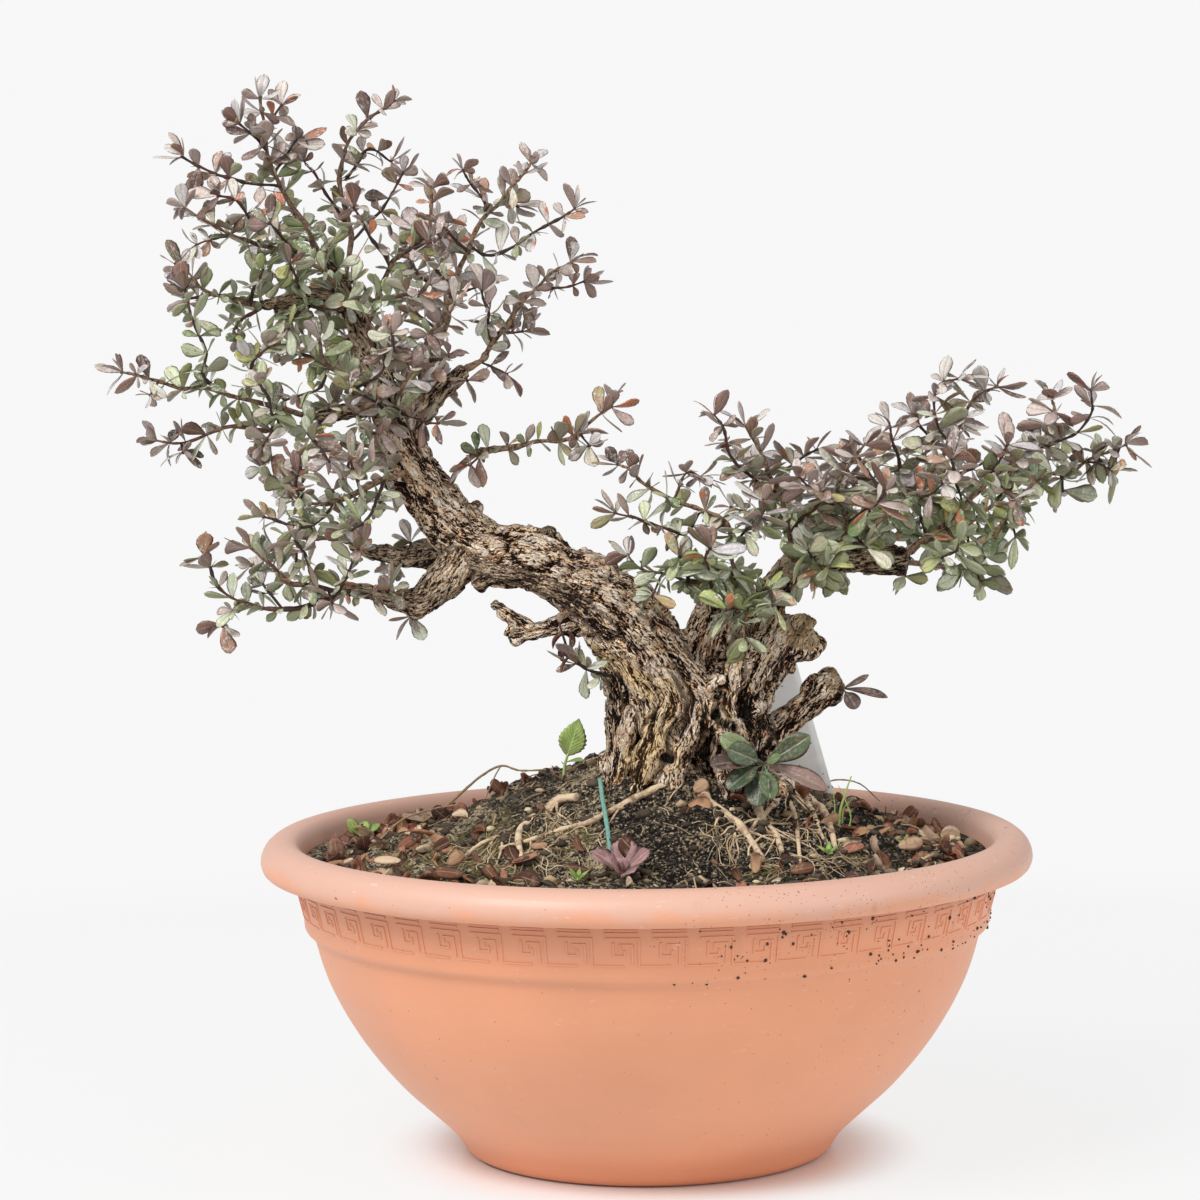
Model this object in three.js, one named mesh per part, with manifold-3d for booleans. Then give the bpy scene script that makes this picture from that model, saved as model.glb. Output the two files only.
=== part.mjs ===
import * as THREE from 'three';
import { mergeVertices } from 'three/addons/utils/BufferGeometryUtils.js';
import Module from 'manifold-3d';

// Barberry bonsai in a round terracotta-coloured bowl.
// Millimetres, +Z up, +X to the right of the tree's front, +Y away from the front.
// The origin is the centre of the bowl's flat base.

const wasm = await Module();
wasm.setup();

// Driving dimensions
const BOWL_SIDES = 36;
const BOWL_BASE_R = 90;
const BOWL_RIM_R = 200;
const BOWL_HEIGHT = 167;
const BOWL_FLOOR = 6;
const DRAIN_HOLE_R = 6;
const DRAIN_CIRCLE_R = 52;
const DRAIN_HOLES = 4;
const SOIL_EDGE_Z = 156;
const SOIL_RISE = 49;
const SOIL_REACH = 175;
const SOIL_PEAK = [5, 12];
const SOIL_FRONT_STEEPER = 1.3;
const FIT_GAP = 0.3;
const SLIVER = 0.12;
const LEAF_THICKNESS = 1.2;
const LEAF_LENGTH = [10.5, 17.5];
const LEAF_WIDTH_RATIO = 0.47;
const STATION_GAP = 9;
const STATIONS_SKIPPED = 3;
const BARE_SHARE = 0.22;
const FOOT_DEPTH = 1.2;
const SPINE_LENGTH = 7;
const SPINE_R = 0.5;
const LABEL_WIDTH = 31;
const LABEL_THICKNESS = 1.2;
const WIRE_R = 1.15;

// Trunk and woody limbs: points of the centre line with the radius there
const LIMBS = {
  trunk: [[9, 0, 156, 32], [8, 0, 183, 29], [6, 0, 215, 26], [5, -2, 240, 25], [-2, -4, 264, 23],
    [-16, -6, 284, 20], [-35, -6, 298, 17], [-59, -4, 309, 15], [-80, 0, 312, 15], [-96, 2, 324, 14],
    [-108, 2, 341, 12.5], [-118, 0, 358, 11.5], [-126, 0, 376, 10.5], [-133, 2, 396, 9],
    [-140, 4, 417, 8], [-146, 6, 432, 6.5], [-154, 6, 450, 5], [-164, 4, 467, 3.5]],
  right_base: [[36, 4, 156, 30], [38, 4, 187, 27], [39, 4, 216, 25], [35, 4, 239, 20], [29, 2, 258, 14],
    [41, 0, 283, 11.5]],
  big_stump: [[40, -8, 220, 20], [53, -10, 245, 15], [64, -12, 259, 12], [76, -14, 272, 12]],
  low_stub: [[48, 0, 208, 9], [70, -4, 221, 7.5], [83, -6, 232, 7], [95, -6, 241, 7.5]],
  pad_limb: [[44, 22, 237, 14], [57, 26, 263, 10], [67, 20, 285, 9], [79, 8, 302, 8.5], [96, 0, 309, 8],
    [116, -4, 308, 8], [135, -4, 306, 7]],
  low_limb: [[-89, -2, 315, 11], [-104, -8, 298, 9.5], [-116, -12, 289, 7], [-129, -16, 290, 4.5],
    [-142, -20, 295, 3.6], [-156, -24, 296, 2.8]],
  back_limb: [[-94, 8, 316, 9], [-116, 22, 309, 6.5], [-138, 38, 310, 4.5], [-155, 48, 314, 3]],
  fork_limb: [[-125, 0, 371, 8], [-112, -2, 388, 6.5], [-102, -4, 398, 5.5], [-91, -4, 407, 5]],
  left_limb: [[-131, 0, 391, 6], [-150, -12, 387, 4.2], [-166, -18, 384, 3.2]],
  upper_left_limb: [[-150, 6, 441, 5], [-172, -8, 445, 4], [-193, -16, 441, 3.2]],
  stub_left: [[-30, -6, 277, 9], [-50, -8, 273, 5.5], [-63, -8, 271, 5]],
  stub_left_fork: [[-56, -8, 272, 4.6], [-74, -8, 283, 4.2]],
  stub_under: [[-70, -8, 303, 5], [-87, -14, 298, 4.2]],
  stub_up: [[-97, 0, 330, 4.5], [-91, -2, 337, 3.4]],
  knob_top: [[-57, -2, 313, 6], [-52, -4, 321, 5]],
};

// Surface roots: radius at the trunk, radius at the end, then the points they pass
const ROOTS = [
  [2.6, 1, [35, 0, 208], [19, -24, 198], [4, -34, 193], [-12, -43, 187], [-30, -52, 180], [-52, -55, 173],
    [-75, -58, 166]],
  [3, 1.6, [32, -10, 198], [28, -27, 195], [36, -46, 184], [48, -62, 174], [58, -84, 162]],
  [1.9, 1.1, [56, 2, 204], [69, -3, 197], [75, -16, 185], [77, -46, 175], [76, -84, 160]],
  [1.7, 1, [69, -2, 197], [71, -9, 190], [62, -34, 183], [52, -61, 173]],
  [2.4, 1.4, [50, 4, 204], [76, 0, 193], [90, -10, 181], [94, -34, 173], [95, -57, 164]],
  [2.4, 1.3, [44, -14, 193], [57, -38, 186], [65, -57, 175], [67, -76, 162]],
  [2.6, 1.6, [-8, -8, 190], [-37, -30, 189], [-54, -38, 181], [-65, -52, 172], [-63, -78, 161]],
  [1.6, 1, [-64, -49, 173], [-76, -47, 172], [-94, -58, 161]],
  [3, 0.9, [-8, 8, 196], [-49, 21, 197], [-73, 22, 205], [-89, 25, 196], [-107, 28, 189],
    [-136, 30, 171], [-148, 28, 161]],
];

// Leafy sprays: each twig has its radius at the foot, its radius at the tip and the points it passes
const SPRAYS = {
  crown_tip: [
    [2.6, 1.2, [-154, 6, 450], [-166, 3, 469], [-176, 0, 489], [-188, -4, 509], [-192, -4, 528], [-192,
      -6, 548]],
    [1.4, 0.9, [-184, -2, 502], [-210, -14, 506], [-232, -22, 517]],
    [1.3, 0.9, [-191, -4, 520], [-203, -14, 535]],
  ],
  crown_left: [
    [2.8, 0.9, [-149, 5, 440], [-165, -14, 460], [-192, -28, 471], [-213, -36, 482], [-229, -38, 492]],
    [1.4, 0.8, [-192, -28, 471], [-202, -34, 492], [-213, -36, 497]],
    [1.4, 1, [-173, -20, 463], [-187, -44, 484]],
  ],
  dark_branch: [
    [3, 1, [-193, -16, 441], [-206, -20, 444], [-217, -24, 449], [-234, -26, 463]],
    [1.3, 1, [-217, -24, 449], [-233, -22, 446]],
    [1.6, 1, [-199, -18, 442], [-191, -38, 461]],
  ],
  left_branch: [
    [2.8, 0.8, [-166, -18, 384], [-202, -24, 393], [-224, -28, 399], [-252, -30, 406], [-265, -30,
      409]],
    [1.6, 0.8, [-214, -26, 396], [-221, -36, 407], [-222, -38, 420], [-225, -38, 432], [-230, -36,
      450]],
    [1.5, 0.9, [-202, -24, 393], [-197, -32, 411], [-188, -34, 421]],
  ],
  left_lower_branch: [
    [2.6, 0.9, [-157, -14, 385], [-169, -11, 379], [-186, -16, 379], [-212, -20, 379], [-235, -18, 373],
      [-248, -18, 375]],
    [1.5, 0.9, [-186, -16, 379], [-188, -44, 392], [-191, -54, 404]],
    [1.5, 1, [-190, -18, 380], [-193, -36, 370]],
  ],
  left_shoulder: [
    [2.6, 1.1, [-149, -12, 387], [-148, -26, 401], [-158, -36, 414], [-163, -40, 425]],
    [1.5, 0.8, [-149, -24, 397], [-132, -48, 408], [-128, -56, 418]],
    [1.4, 0.9, [-155, -34, 410], [-174, -26, 416], [-183, -24, 419]],
  ],
  low_front: [
    [3.2, 1, [-118, -2, 357], [-132, -22, 351], [-154, -30, 343], [-175, -30, 342], [-193, -28, 359]],
    [1.5, 0.9, [-154, -30, 343], [-173, -34, 329], [-194, -34, 335]],
    [1.6, 0.9, [-132, -22, 351], [-137, -48, 337], [-148, -56, 329]],
  ],
  low_left: [
    [2.6, 1, [-156, -24, 296], [-177, -24, 300], [-191, -26, 309], [-201, -26, 318]],
    [1.5, 0.9, [-167, -24, 298], [-173, -38, 315], [-178, -42, 323]],
    [1.5, 0.9, [-156, -24, 296], [-148, -48, 312], [-145, -54, 320]],
  ],
  lowest_left: [
    [2.2, 0.8, [-147, -21, 295], [-177, -14, 288], [-198, -14, 288], [-211, -14, 290], [-221, -14, 304],
      [-226, -14, 314]],
    [1.2, 0.8, [-209, -14, 289], [-217, -10, 276]],
    [1.2, 0.9, [-187, -14, 288], [-197, -2, 300]],
  ],
  back_low: [
    [2.6, 1, [-155, 48, 314], [-172, 60, 317], [-191, 70, 311], [-209, 74, 301]],
    [1.5, 0.9, [-172, 60, 317], [-182, 70, 333], [-191, 74, 344]],
    [1.5, 0.9, [-155, 48, 314], [-158, 70, 328], [-167, 80, 340]],
  ],
  crown_front_twig: [
    [2.8, 0.8, [-139, 2, 417], [-137, -22, 438], [-128, -30, 461], [-118, -32, 467], [-109, -32, 476],
      [-107, -32, 491], [-107, -32, 501]],
    [1.5, 0.9, [-128, -30, 461], [-138, -44, 478], [-145, -48, 490]],
    [1.5, 0.9, [-137, -25, 444], [-116, -56, 446], [-105, -64, 452]],
  ],
  crown_high_twig: [
    [2.6, 0.8, [-152, 6, 447], [-149, 18, 474], [-155, 22, 497], [-153, 20, 515], [-146, 18, 531],
      [-135, 18, 540], [-127, 18, 547]],
    [1.5, 0.8, [-152, 20, 483], [-169, 16, 507], [-173, 14, 516]],
    [1.4, 0.8, [-152, 20, 505], [-139, 34, 520], [-129, 40, 516]],
  ],
  right_high: [
    [3.6, 0.8, [-101, -4, 399], [-106, 2, 418], [-98, 2, 437], [-92, -2, 462], [-82, -4, 482], [-72, -6,
      494], [-59, -6, 508], [-55, -6, 514]],
    [1.6, 0.8, [-88, -2, 469], [-74, -8, 467], [-55, -10, 476], [-42, -10, 485], [-33, -10, 490]],
    [1.6, 0.9, [-95, 0, 449], [-110, 14, 464], [-118, 22, 478]],
  ],
  right_mid: [
    [3.2, 0.8, [-91, -4, 407], [-82, 0, 411], [-77, 2, 419], [-66, 4, 434], [-55, 6, 446], [-47, 6,
      456], [-35, 8, 462]],
    [1.3, 0.8, [-55, 6, 446], [-43, 10, 449], [-27, 12, 452]],
    [1.4, 0.9, [-76, 2, 422], [-79, -18, 440], [-81, -24, 448]],
  ],
  crown_centre: [
    [3, 0.9, [-112, -4, 388], [-113, -24, 404], [-109, -38, 420], [-98, -46, 435], [-92, -50, 444]],
    [1.6, 0.9, [-113, -24, 404], [-123, -56, 418], [-125, -62, 429]],
    [1.5, 1, [-112, -30, 410], [-97, -54, 416]],
  ],
  crown_fill: [
    [2.8, 1, [-126, -4, 378], [-127, -30, 391], [-120, -50, 402], [-113, -60, 411]],
    [1.5, 0.8, [-126, -24, 388], [-139, -44, 394], [-147, -50, 400]],
    [1.5, 0.8, [-127, -30, 391], [-112, -42, 383], [-102, -46, 381]],
  ],
  back_top: [
    [3, 0.9, [-146, 8, 432], [-153, 40, 448], [-165, 62, 466], [-180, 76, 482], [-189, 82, 493]],
    [1.6, 0.9, [-153, 40, 448], [-176, 58, 450], [-192, 66, 452]],
    [1.5, 0.9, [-165, 62, 466], [-157, 80, 486], [-154, 86, 498]],
  ],
  back_right: [
    [3, 0.9, [-139, 6, 415], [-130, 40, 427], [-117, 64, 444], [-106, 78, 462], [-102, 84, 474]],
    [1.6, 0.9, [-130, 40, 427], [-125, 64, 415], [-112, 78, 416]],
    [1.5, 0.9, [-117, 64, 444], [-95, 76, 447], [-81, 82, 452]],
  ],
  back_left: [
    [3, 0.9, [-133, 8, 396], [-144, 42, 403], [-164, 64, 410], [-186, 78, 416], [-202, 84, 415]],
    [1.6, 0.9, [-144, 42, 403], [-153, 62, 419], [-165, 72, 431]],
    [1.5, 0.9, [-164, 64, 410], [-174, 78, 394], [-190, 84, 388]],
  ],
  back_mid: [
    [2.8, 0.9, [-121, 8, 363], [-133, 40, 363], [-151, 60, 365], [-171, 72, 362], [-184, 78, 356]],
    [1.5, 0.9, [-133, 40, 363], [-130, 62, 347], [-140, 72, 334]],
    [1.4, 0.9, [-151, 60, 365], [-159, 76, 349]],
  ],
  middle_twig: [
    [3.6, 0.9, [-104, -2, 344], [-92, -8, 359], [-83, -10, 366], [-72, -10, 368], [-56, -10, 370], [-40,
      -10, 372], [-31, -10, 375], [-23, -8, 384], [-15, -8, 389]],
    [1.2, 0.8, [-31, -10, 375], [-25, -14, 368]],
    [1.4, 0.8, [-83, -10, 366], [-88, -20, 358]],
  ],
  pad_left_long: [
    [3.6, 0.8, [54, 20, 264], [48, -8, 286], [45, -26, 309], [41, -32, 330], [28, -32, 336], [6, -30,
      346], [-5, -28, 355], [-15, -26, 359]],
    [1.5, 0.8, [28, -32, 336], [20, -36, 323], [4, -38, 329], [-16, -38, 336]],
    [1.3, 0.8, [15, -31, 342], [24, -26, 354], [31, -24, 351]],
  ],
  pad_left_low: [
    [2.6, 0.8, [38, -4, 281], [34, -20, 293], [24, -33, 299], [9, -38, 303], [-4, -40, 308], [-9, -40,
      313]],
    [1.4, 1, [24, -33, 299], [18, -48, 314]],
    [1.3, 0.9, [9, -38, 303], [3, -46, 293]],
  ],
  pad_hanging: [
    [2.8, 0.8, [64, 14, 281], [60, -14, 290], [54, -36, 291], [51, -52, 282], [51, -56, 270]],
    [1.5, 0.8, [54, -36, 291], [62, -52, 297], [64, -58, 289]],
    [1.4, 0.9, [53, -42, 289], [40, -56, 287]],
  ],
  pad_up_left: [
    [3.2, 0.9, [79, 4, 303], [76, -8, 323], [72, -16, 339], [65, -20, 355], [58, -20, 367], [52, -20,
      379]],
    [1.5, 0.8, [70, -17, 343], [49, -26, 358], [41, -28, 373], [35, -28, 385]],
    [1.6, 0.9, [76, -8, 323], [89, -34, 340], [90, -38, 350]],
  ],
  pad_front_rosette: [
    [2.6, 1.2, [87, -4, 307], [89, -26, 305], [93, -40, 307]],
    [1.3, 0.9, [88, -20, 305], [82, -42, 314]],
  ],
  pad_mid: [
    [3.2, 0.9, [99, -4, 309], [103, -22, 329], [99, -32, 346], [105, -36, 360], [111, -38, 369]],
    [1.6, 0.9, [103, -22, 329], [116, -44, 338], [122, -50, 346]],
    [1.4, 0.8, [101, -28, 339], [85, -48, 347], [78, -52, 353]],
  ],
  pad_top: [
    [3.4, 0.8, [111, -4, 308], [115, 0, 321], [130, 4, 333], [137, 6, 343], [152, 8, 355], [161, 10,
      368], [172, 12, 387], [184, 12, 394]],
    [1.6, 0.9, [137, 6, 343], [130, -6, 363], [126, -10, 377]],
    [1.4, 0.8, [158, 10, 365], [151, 2, 385], [154, 2, 396], [165, 2, 400]],
  ],
  pad_right: [
    [3.2, 0.8, [132, -6, 306], [147, -14, 320], [163, -20, 334], [180, -22, 351], [200, -20, 363], [210,
      -18, 381], [209, -18, 390]],
    [1.5, 0.9, [175, -21, 346], [181, -32, 358], [185, -36, 368]],
    [1.3, 0.8, [200, -20, 363], [222, -14, 372], [231, -12, 384], [231, -12, 395]],
  ],
  pad_arch: [
    [3, 0.8, [135, 0, 304], [155, 16, 301], [174, 14, 302], [184, 8, 322], [198, 4, 341], [211, 2, 350],
      [228, 0, 356], [239, 0, 360], [251, 0, 364]],
    [1.3, 0.8, [174, 14, 302], [176, 10, 293]],
    [1.3, 0.8, [188, 7, 327], [193, 2, 316]],
  ],
  pad_back: [
    [3.2, 1, [118, 2, 309], [125, 40, 322], [138, 62, 343], [156, 76, 361], [175, 82, 376]],
    [1.7, 0.9, [125, 40, 322], [114, 62, 339], [109, 72, 353]],
    [1.6, 0.9, [138, 62, 343], [163, 76, 343], [184, 84, 352]],
  ],
  pad_back_right: [
    [3, 1, [134, 4, 307], [151, 34, 314], [172, 52, 321], [196, 62, 337], [217, 66, 353]],
    [1.6, 0.9, [151, 34, 314], [148, 58, 328], [146, 66, 337]],
    [1.5, 0.9, [172, 52, 321], [175, 66, 305], [169, 72, 294]],
  ],
  pad_back_left: [
    [3, 0.9, [82, 14, 303], [84, 44, 316], [79, 62, 334], [69, 72, 346], [55, 78, 354]],
    [1.6, 0.9, [84, 44, 316], [101, 62, 325], [107, 70, 335]],
    [1.5, 0.9, [82, 54, 325], [63, 70, 325], [49, 78, 330]],
  ],
  trunk_sprout: [
    [1.6, 0.8, [-12, -14, 247], [-20, -20, 251], [-29, -24, 255], [-36, -26, 259]],
  ],
};

// Single large leaves at the foot of the tree: length vector and width of each, from one bud
const BASAL_LEAVES = [[-22, -6, 15, 9], [-27, -10, 5, 10], [-17, -14, 9, 10], [-20, -12, -8, 11],
  [7, -9, 5, 6], [23, -8, 14, 15], [33, -10, -8, 14], [-6, -14, -19, 12], [3, -18, -14, 9]];
const STUB_LEAVES = [[24, -4, -2, 7], [14, -3, 7, 4], [8, -6, -9, 8]];

// Small weeds in the bowl: place, number of leaves, leaf length, leaf width, rise of the leaves in degrees
const WEEDS = {
  weed_left: [[-150, 40], 5, 11, 6, 38],
  weed_star: [[-35, -106], 6, 9, 2.6, 40],
  weed_purple: [[-13, -100], 7, 17, 9, 52],
  weed_round: [[-76, -104], 4, 8, 5.5, 32],
  weed_right: [[91, -66], 5, 8, 3, 40],
  weed_far_right: [[133, -30], 5, 8, 3.4, 36],
};

// Colours
const TERRACOTTA = '#DE9272';
const SOIL_BROWN = '#3B322A';
const BARK = '#8F7354';
const LEAF_PURPLE = '#75666B';
const LEAF_GREEN = '#66755A';
const LEAF_BRIGHT = '#7FA046';
const WEED_PURPLE = '#8A5A68';
const LABEL_GREY = '#B9B7B2';
const WIRE_TEAL = '#5E8F84';

function plain(name, color, roughness) {
  return () => {
    const material = new THREE.MeshStandardMaterial({ color, roughness, metalness: 0 });
    material.name = name;
    return material;
  };
}
const terracotta = plain('terracotta_plastic', TERRACOTTA, 0.62);
const compost = plain('compost', SOIL_BROWN, 0.95);
const bark = plain('bark', BARK, 0.9);
const purpleLeaf = plain('leaf_purple', LEAF_PURPLE, 0.55);
const greenLeaf = plain('leaf_green', LEAF_GREEN, 0.55);
const brightLeaf = plain('leaf_bright', LEAF_BRIGHT, 0.5);
const weedLeaf = plain('weed_purple', WEED_PURPLE, 0.5);
const labelPlastic = plain('label_plastic', LABEL_GREY, 0.5);
const wireCoat = plain('wire_coat', WIRE_TEAL, 0.45);

// Seeded choice between 0 and 1 from three whole numbers
function chance(a, b, c) {
  const s = Math.sin(a * 12.9898 + b * 78.233 + c * 37.719) * 43758.5453;
  return s - Math.floor(s);
}

function solid(geometry) {
  geometry.deleteAttribute('normal');
  geometry.deleteAttribute('uv');
  const merged = mergeVertices(geometry, 1e-4);
  const mesh = new wasm.Mesh({
    numProp: 3,
    vertProperties: new Float32Array(merged.attributes.position.array),
    triVerts: new Uint32Array(merged.index.array),
  });
  return new wasm.Manifold(mesh);
}

function union(solids) {
  return wasm.Manifold.union(solids);
}

function geometryOf(manifold) {
  const mesh = manifold.getMesh();
  const geometry = new THREE.BufferGeometry();
  const points = new Float32Array(mesh.numVert * 3);
  for (let i = 0; i < mesh.numVert; i += 1) {
    points.set(mesh.vertProperties.subarray(i * mesh.numProp, i * mesh.numProp + 3), i * 3);
  }
  geometry.setAttribute('position', new THREE.BufferAttribute(points, 3));
  geometry.setIndex(new THREE.BufferAttribute(new Uint32Array(mesh.triVerts), 1));
  return geometry;
}

// Drops slivers that a join or cut leaves and any loose scrap
function largestPiece(manifold) {
  const pieces = manifold.asOriginal().simplify(SLIVER).decompose();
  return pieces.reduce((best, piece) => (piece.volume() > best.volume() ? piece : best));
}

function curveThrough(points) {
  return new THREE.CatmullRomCurve3(points.map((p) => new THREE.Vector3(...p)), false, 'catmullrom', 0.5);
}

// Directions across a curve at each step, carried along it without twisting
function framesAlong(curve, steps) {
  const frames = [];
  let side = null;
  for (let i = 0; i <= steps; i += 1) {
    const tangent = curve.getTangent(i / steps);
    if (side === null) {
      side = new THREE.Vector3(0, 0, 1);
      if (Math.abs(tangent.z) > 0.9) side.set(1, 0, 0);
    }
    side.addScaledVector(tangent, -side.dot(tangent)).normalize();
    const other = new THREE.Vector3().crossVectors(tangent, side);
    frames.push({ point: curve.getPoint(i / steps), tangent, side: side.clone(), other });
  }
  return frames;
}

// A closed round bar bent along a curve; radiusAt gives the radius for a share of the way and an angle
function bar(curve, radiusAt, sides, steps) {
  const geometry = new THREE.CylinderGeometry(1, 1, 1, sides, steps);
  const frames = framesAlong(curve, steps);
  const position = geometry.attributes.position;
  for (let i = 0; i < position.count; i += 1) {
    const share = 0.5 - position.getY(i);
    const frame = frames[Math.round(share * steps)];
    const x = position.getX(i);
    const z = position.getZ(i);
    const angle = Math.atan2(z, x);
    const reach = Math.hypot(x, z) * radiusAt(share, angle);
    const point = frame.point.clone();
    point.addScaledVector(frame.side, Math.cos(angle) * reach);
    point.addScaledVector(frame.other, Math.sin(angle) * reach);
    position.setXYZ(i, point.x, point.y, point.z);
  }
  return solid(geometry);
}

function between(values, share) {
  const place = share * (values.length - 1);
  const i = Math.min(Math.floor(place), values.length - 2);
  return values[i] + (values[i + 1] - values[i]) * (place - i);
}

// A limb swells into winding ridges of old wood, deepest on the thick wood
function limb(points, sides, stepsPerSpan, extra) {
  const radii = points.map((p) => p[3]);
  const ridged = (share, angle) => {
    const r = between(radii, share);
    const depth = Math.min(r * 0.006, 0.13);
    const turn = share * points.length * 0.42;
    const ridge = Math.sin(angle * 5 + turn * 2) * depth + Math.sin(angle * 3 - turn * 3 + 1) * depth * 0.7;
    return r * (1 + ridge) + extra;
  };
  const steps = (points.length - 1) * stepsPerSpan;
  return bar(curveThrough(points.map((p) => p.slice(0, 3))), ridged, sides, steps);
}

// A twig or root tapers evenly from its foot to its tip
function twig(path, sides, stepsPerSpan, extra) {
  const [foot, tip, ...points] = path;
  const taper = (share) => foot + (tip - foot) * share + extra;
  return bar(curveThrough(points), taper, sides, (points.length - 1) * stepsPerSpan);
}

function treeWood(extra) {
  const thick = Object.entries(LIMBS).map(([name, points]) => {
    if (name === 'trunk') return limb(points, 14, 1, extra);
    return limb(points, points[0][3] > 12 ? 11 : 6, 1, extra);
  });
  const roots = ROOTS.map((path) => twig(path, 4, 1, extra));
  return largestPiece(union([...thick, ...roots]));
}

// A leaf blade from its foot at the origin along +Y: six-sided, broadest beyond the middle, thickest there
function blade(length, width, thickness) {
  const geometry = new THREE.SphereGeometry(1, 6, 2);
  const position = geometry.attributes.position;
  for (let i = 0; i < position.count; i += 1) {
    const along = 0.5 + position.getX(i) / 2;
    const isMiddle = Math.abs(position.getY(i)) > 0.5;
    const y = isMiddle ? length * 0.62 : length * (along + 0.1 * Math.sin(Math.PI * along));
    const x = isMiddle ? 0 : position.getZ(i) * 0.577 * width * (0.62 + 0.76 * along);
    position.setXYZ(i, x, y, isMiddle ? Math.sign(position.getY(i)) * thickness / 2 : 0);
  }
  return geometry;
}

// Directions of a leaf across it, along it and out of its face; roll turns it about its own length
function leafAxes(reach, roll) {
  const along = reach.clone().normalize();
  const up = new THREE.Vector3(0, 0, 1);
  if (Math.abs(along.z) > 0.92) up.set(0, -1, 0);
  const across = new THREE.Vector3().crossVectors(along, up).normalize();
  across.applyAxisAngle(along, roll);
  return [across, along, new THREE.Vector3().crossVectors(across, along)];
}

// The roll that turns a leaf's face as near as it goes to a direction
function rollTowards(reach, direction) {
  const [across, , face] = leafAxes(reach, 0);
  return Math.atan2(direction.dot(across), direction.dot(face));
}

// A leaf from foot along reach
function leaf(foot, reach, width, roll, thickness) {
  const geometry = blade(reach.length(), width, thickness);
  geometry.applyMatrix4(new THREE.Matrix4().makeBasis(...leafAxes(reach, roll)));
  geometry.translate(foot.x, foot.y, foot.z);
  return solid(geometry);
}

// Where the leaves of one twig stand: foot, length vector, width and roll of each
function leavesOf(path, number, isMain) {
  const frames = framesAlong(curveThrough(path.slice(2)), 40);
  const walked = [0];
  for (let i = 1; i < frames.length; i += 1) {
    walked.push(walked[i - 1] + frames[i].point.distanceTo(frames[i - 1].point));
  }
  const total = walked[walked.length - 1];
  const stations = isMain ? Math.floor((total * (1 - BARE_SHARE)) / STATION_GAP) : 0;
  const found = [leafAt(frames[40], number, 0, 0), leafAt(frames[40], number, 0, 1)];
  for (let j = STATIONS_SKIPPED; j <= stations; j += STATIONS_SKIPPED) {
    const frame = frames[walked.findIndex((way) => way >= total - j * STATION_GAP)];
    found.push(leafAt(frame, number, j, 0));
  }
  return found;
}

// Leaf i of tuft j leans out from the twig, least at its tip, and lifts to the light
function leafAt(frame, number, j, i) {
  const turn = j * 2.4 + i * 2.1 + chance(number, j, 1) * 6.283;
  const lean = (j === 0 ? 0.35 : 0.85) + 0.5 * chance(number, j, 40 + i);
  const out = frame.side.clone().multiplyScalar(Math.cos(turn));
  out.addScaledVector(frame.other, Math.sin(turn));
  const reach = frame.tangent.clone().multiplyScalar(Math.cos(lean));
  reach.addScaledVector(out, Math.sin(lean));
  reach.z += 0.25;
  const length = LEAF_LENGTH[0] + (LEAF_LENGTH[1] - LEAF_LENGTH[0]) * chance(number, j, 60 + i);
  reach.normalize().multiplyScalar(length);
  const roll = (chance(number, j, 80 + i) - 0.5) * 1.8;
  const foot = frame.point.clone().addScaledVector(frame.tangent, j === 0 ? -FOOT_DEPTH : 0);
  return { foot, reach, width: length * LEAF_WIDTH_RATIO, roll };
}

function spine(frame, turn) {
  const out = frame.side.clone().multiplyScalar(Math.cos(turn));
  out.addScaledVector(frame.other, Math.sin(turn));
  out.addScaledVector(frame.tangent, 0.35).normalize();
  const geometry = new THREE.ConeGeometry(SPINE_R, SPINE_LENGTH, 3);
  geometry.translate(0, SPINE_LENGTH / 2, 0);
  geometry.applyQuaternion(new THREE.Quaternion().setFromUnitVectors(new THREE.Vector3(0, 1, 0), out));
  geometry.translate(frame.point.x, frame.point.y, frame.point.z);
  return solid(geometry);
}

function boxesMeet(a, b) {
  return [0, 1, 2].every((k) => a.min[k] <= b.max[k] && b.min[k] <= a.max[k]);
}

// True when a shape lies clear of every solid already in place
function isClear(shape, placed) {
  const box = shape.boundingBox();
  return placed.every((other) => !boxesMeet(box, other.box) || shape.intersect(other.body).isEmpty());
}

function remember(placed, body) {
  placed.push({ body, box: body.boundingBox() });
}

// A spray is its twigs with their spines and the leaves that find free room
function spray(paths, firstNumber, wood, placed) {
  const parts = [];
  paths.forEach((path, k) => {
    const sides = k === 0 ? 4 : 3;
    if (!isClear(twig(path, sides, 1, FIT_GAP), placed)) {
      if (k === 0) throw new Error(`main twig ${firstNumber} crosses a neighbour`);
      return;
    }
    parts.push(twig(path, sides, 1, 0));
    const frames = framesAlong(curveThrough(path.slice(2)), 8);
    if (k === 0) {
      const thorn = spine(frames[5], chance(firstNumber + k, 3, 7) * 6.283);
      if (isClear(thorn, placed)) parts.push(thorn);
    }
    leavesOf(path, firstNumber + k, k === 0).forEach(({ foot, reach, width, roll }) => {
      const room = leaf(foot, reach.clone().multiplyScalar(1.04), width + 3 * FIT_GAP, roll,
        LEAF_THICKNESS + 2 * FIT_GAP);
      if (isClear(room, placed)) parts.push(leaf(foot, reach, width, roll, LEAF_THICKNESS));
    });
  });
  return largestPiece(union(parts).subtract(wood));
}

function moundHeight(x, y) {
  const dx = x - SOIL_PEAK[0];
  let dy = y - SOIL_PEAK[1];
  if (dy < 0) dy *= SOIL_FRONT_STEEPER;
  const share = Math.min(Math.hypot(dx, dy) / SOIL_REACH, 1);
  return SOIL_EDGE_Z + SOIL_RISE * (0.5 + 0.5 * Math.cos(Math.PI * share));
}

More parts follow.
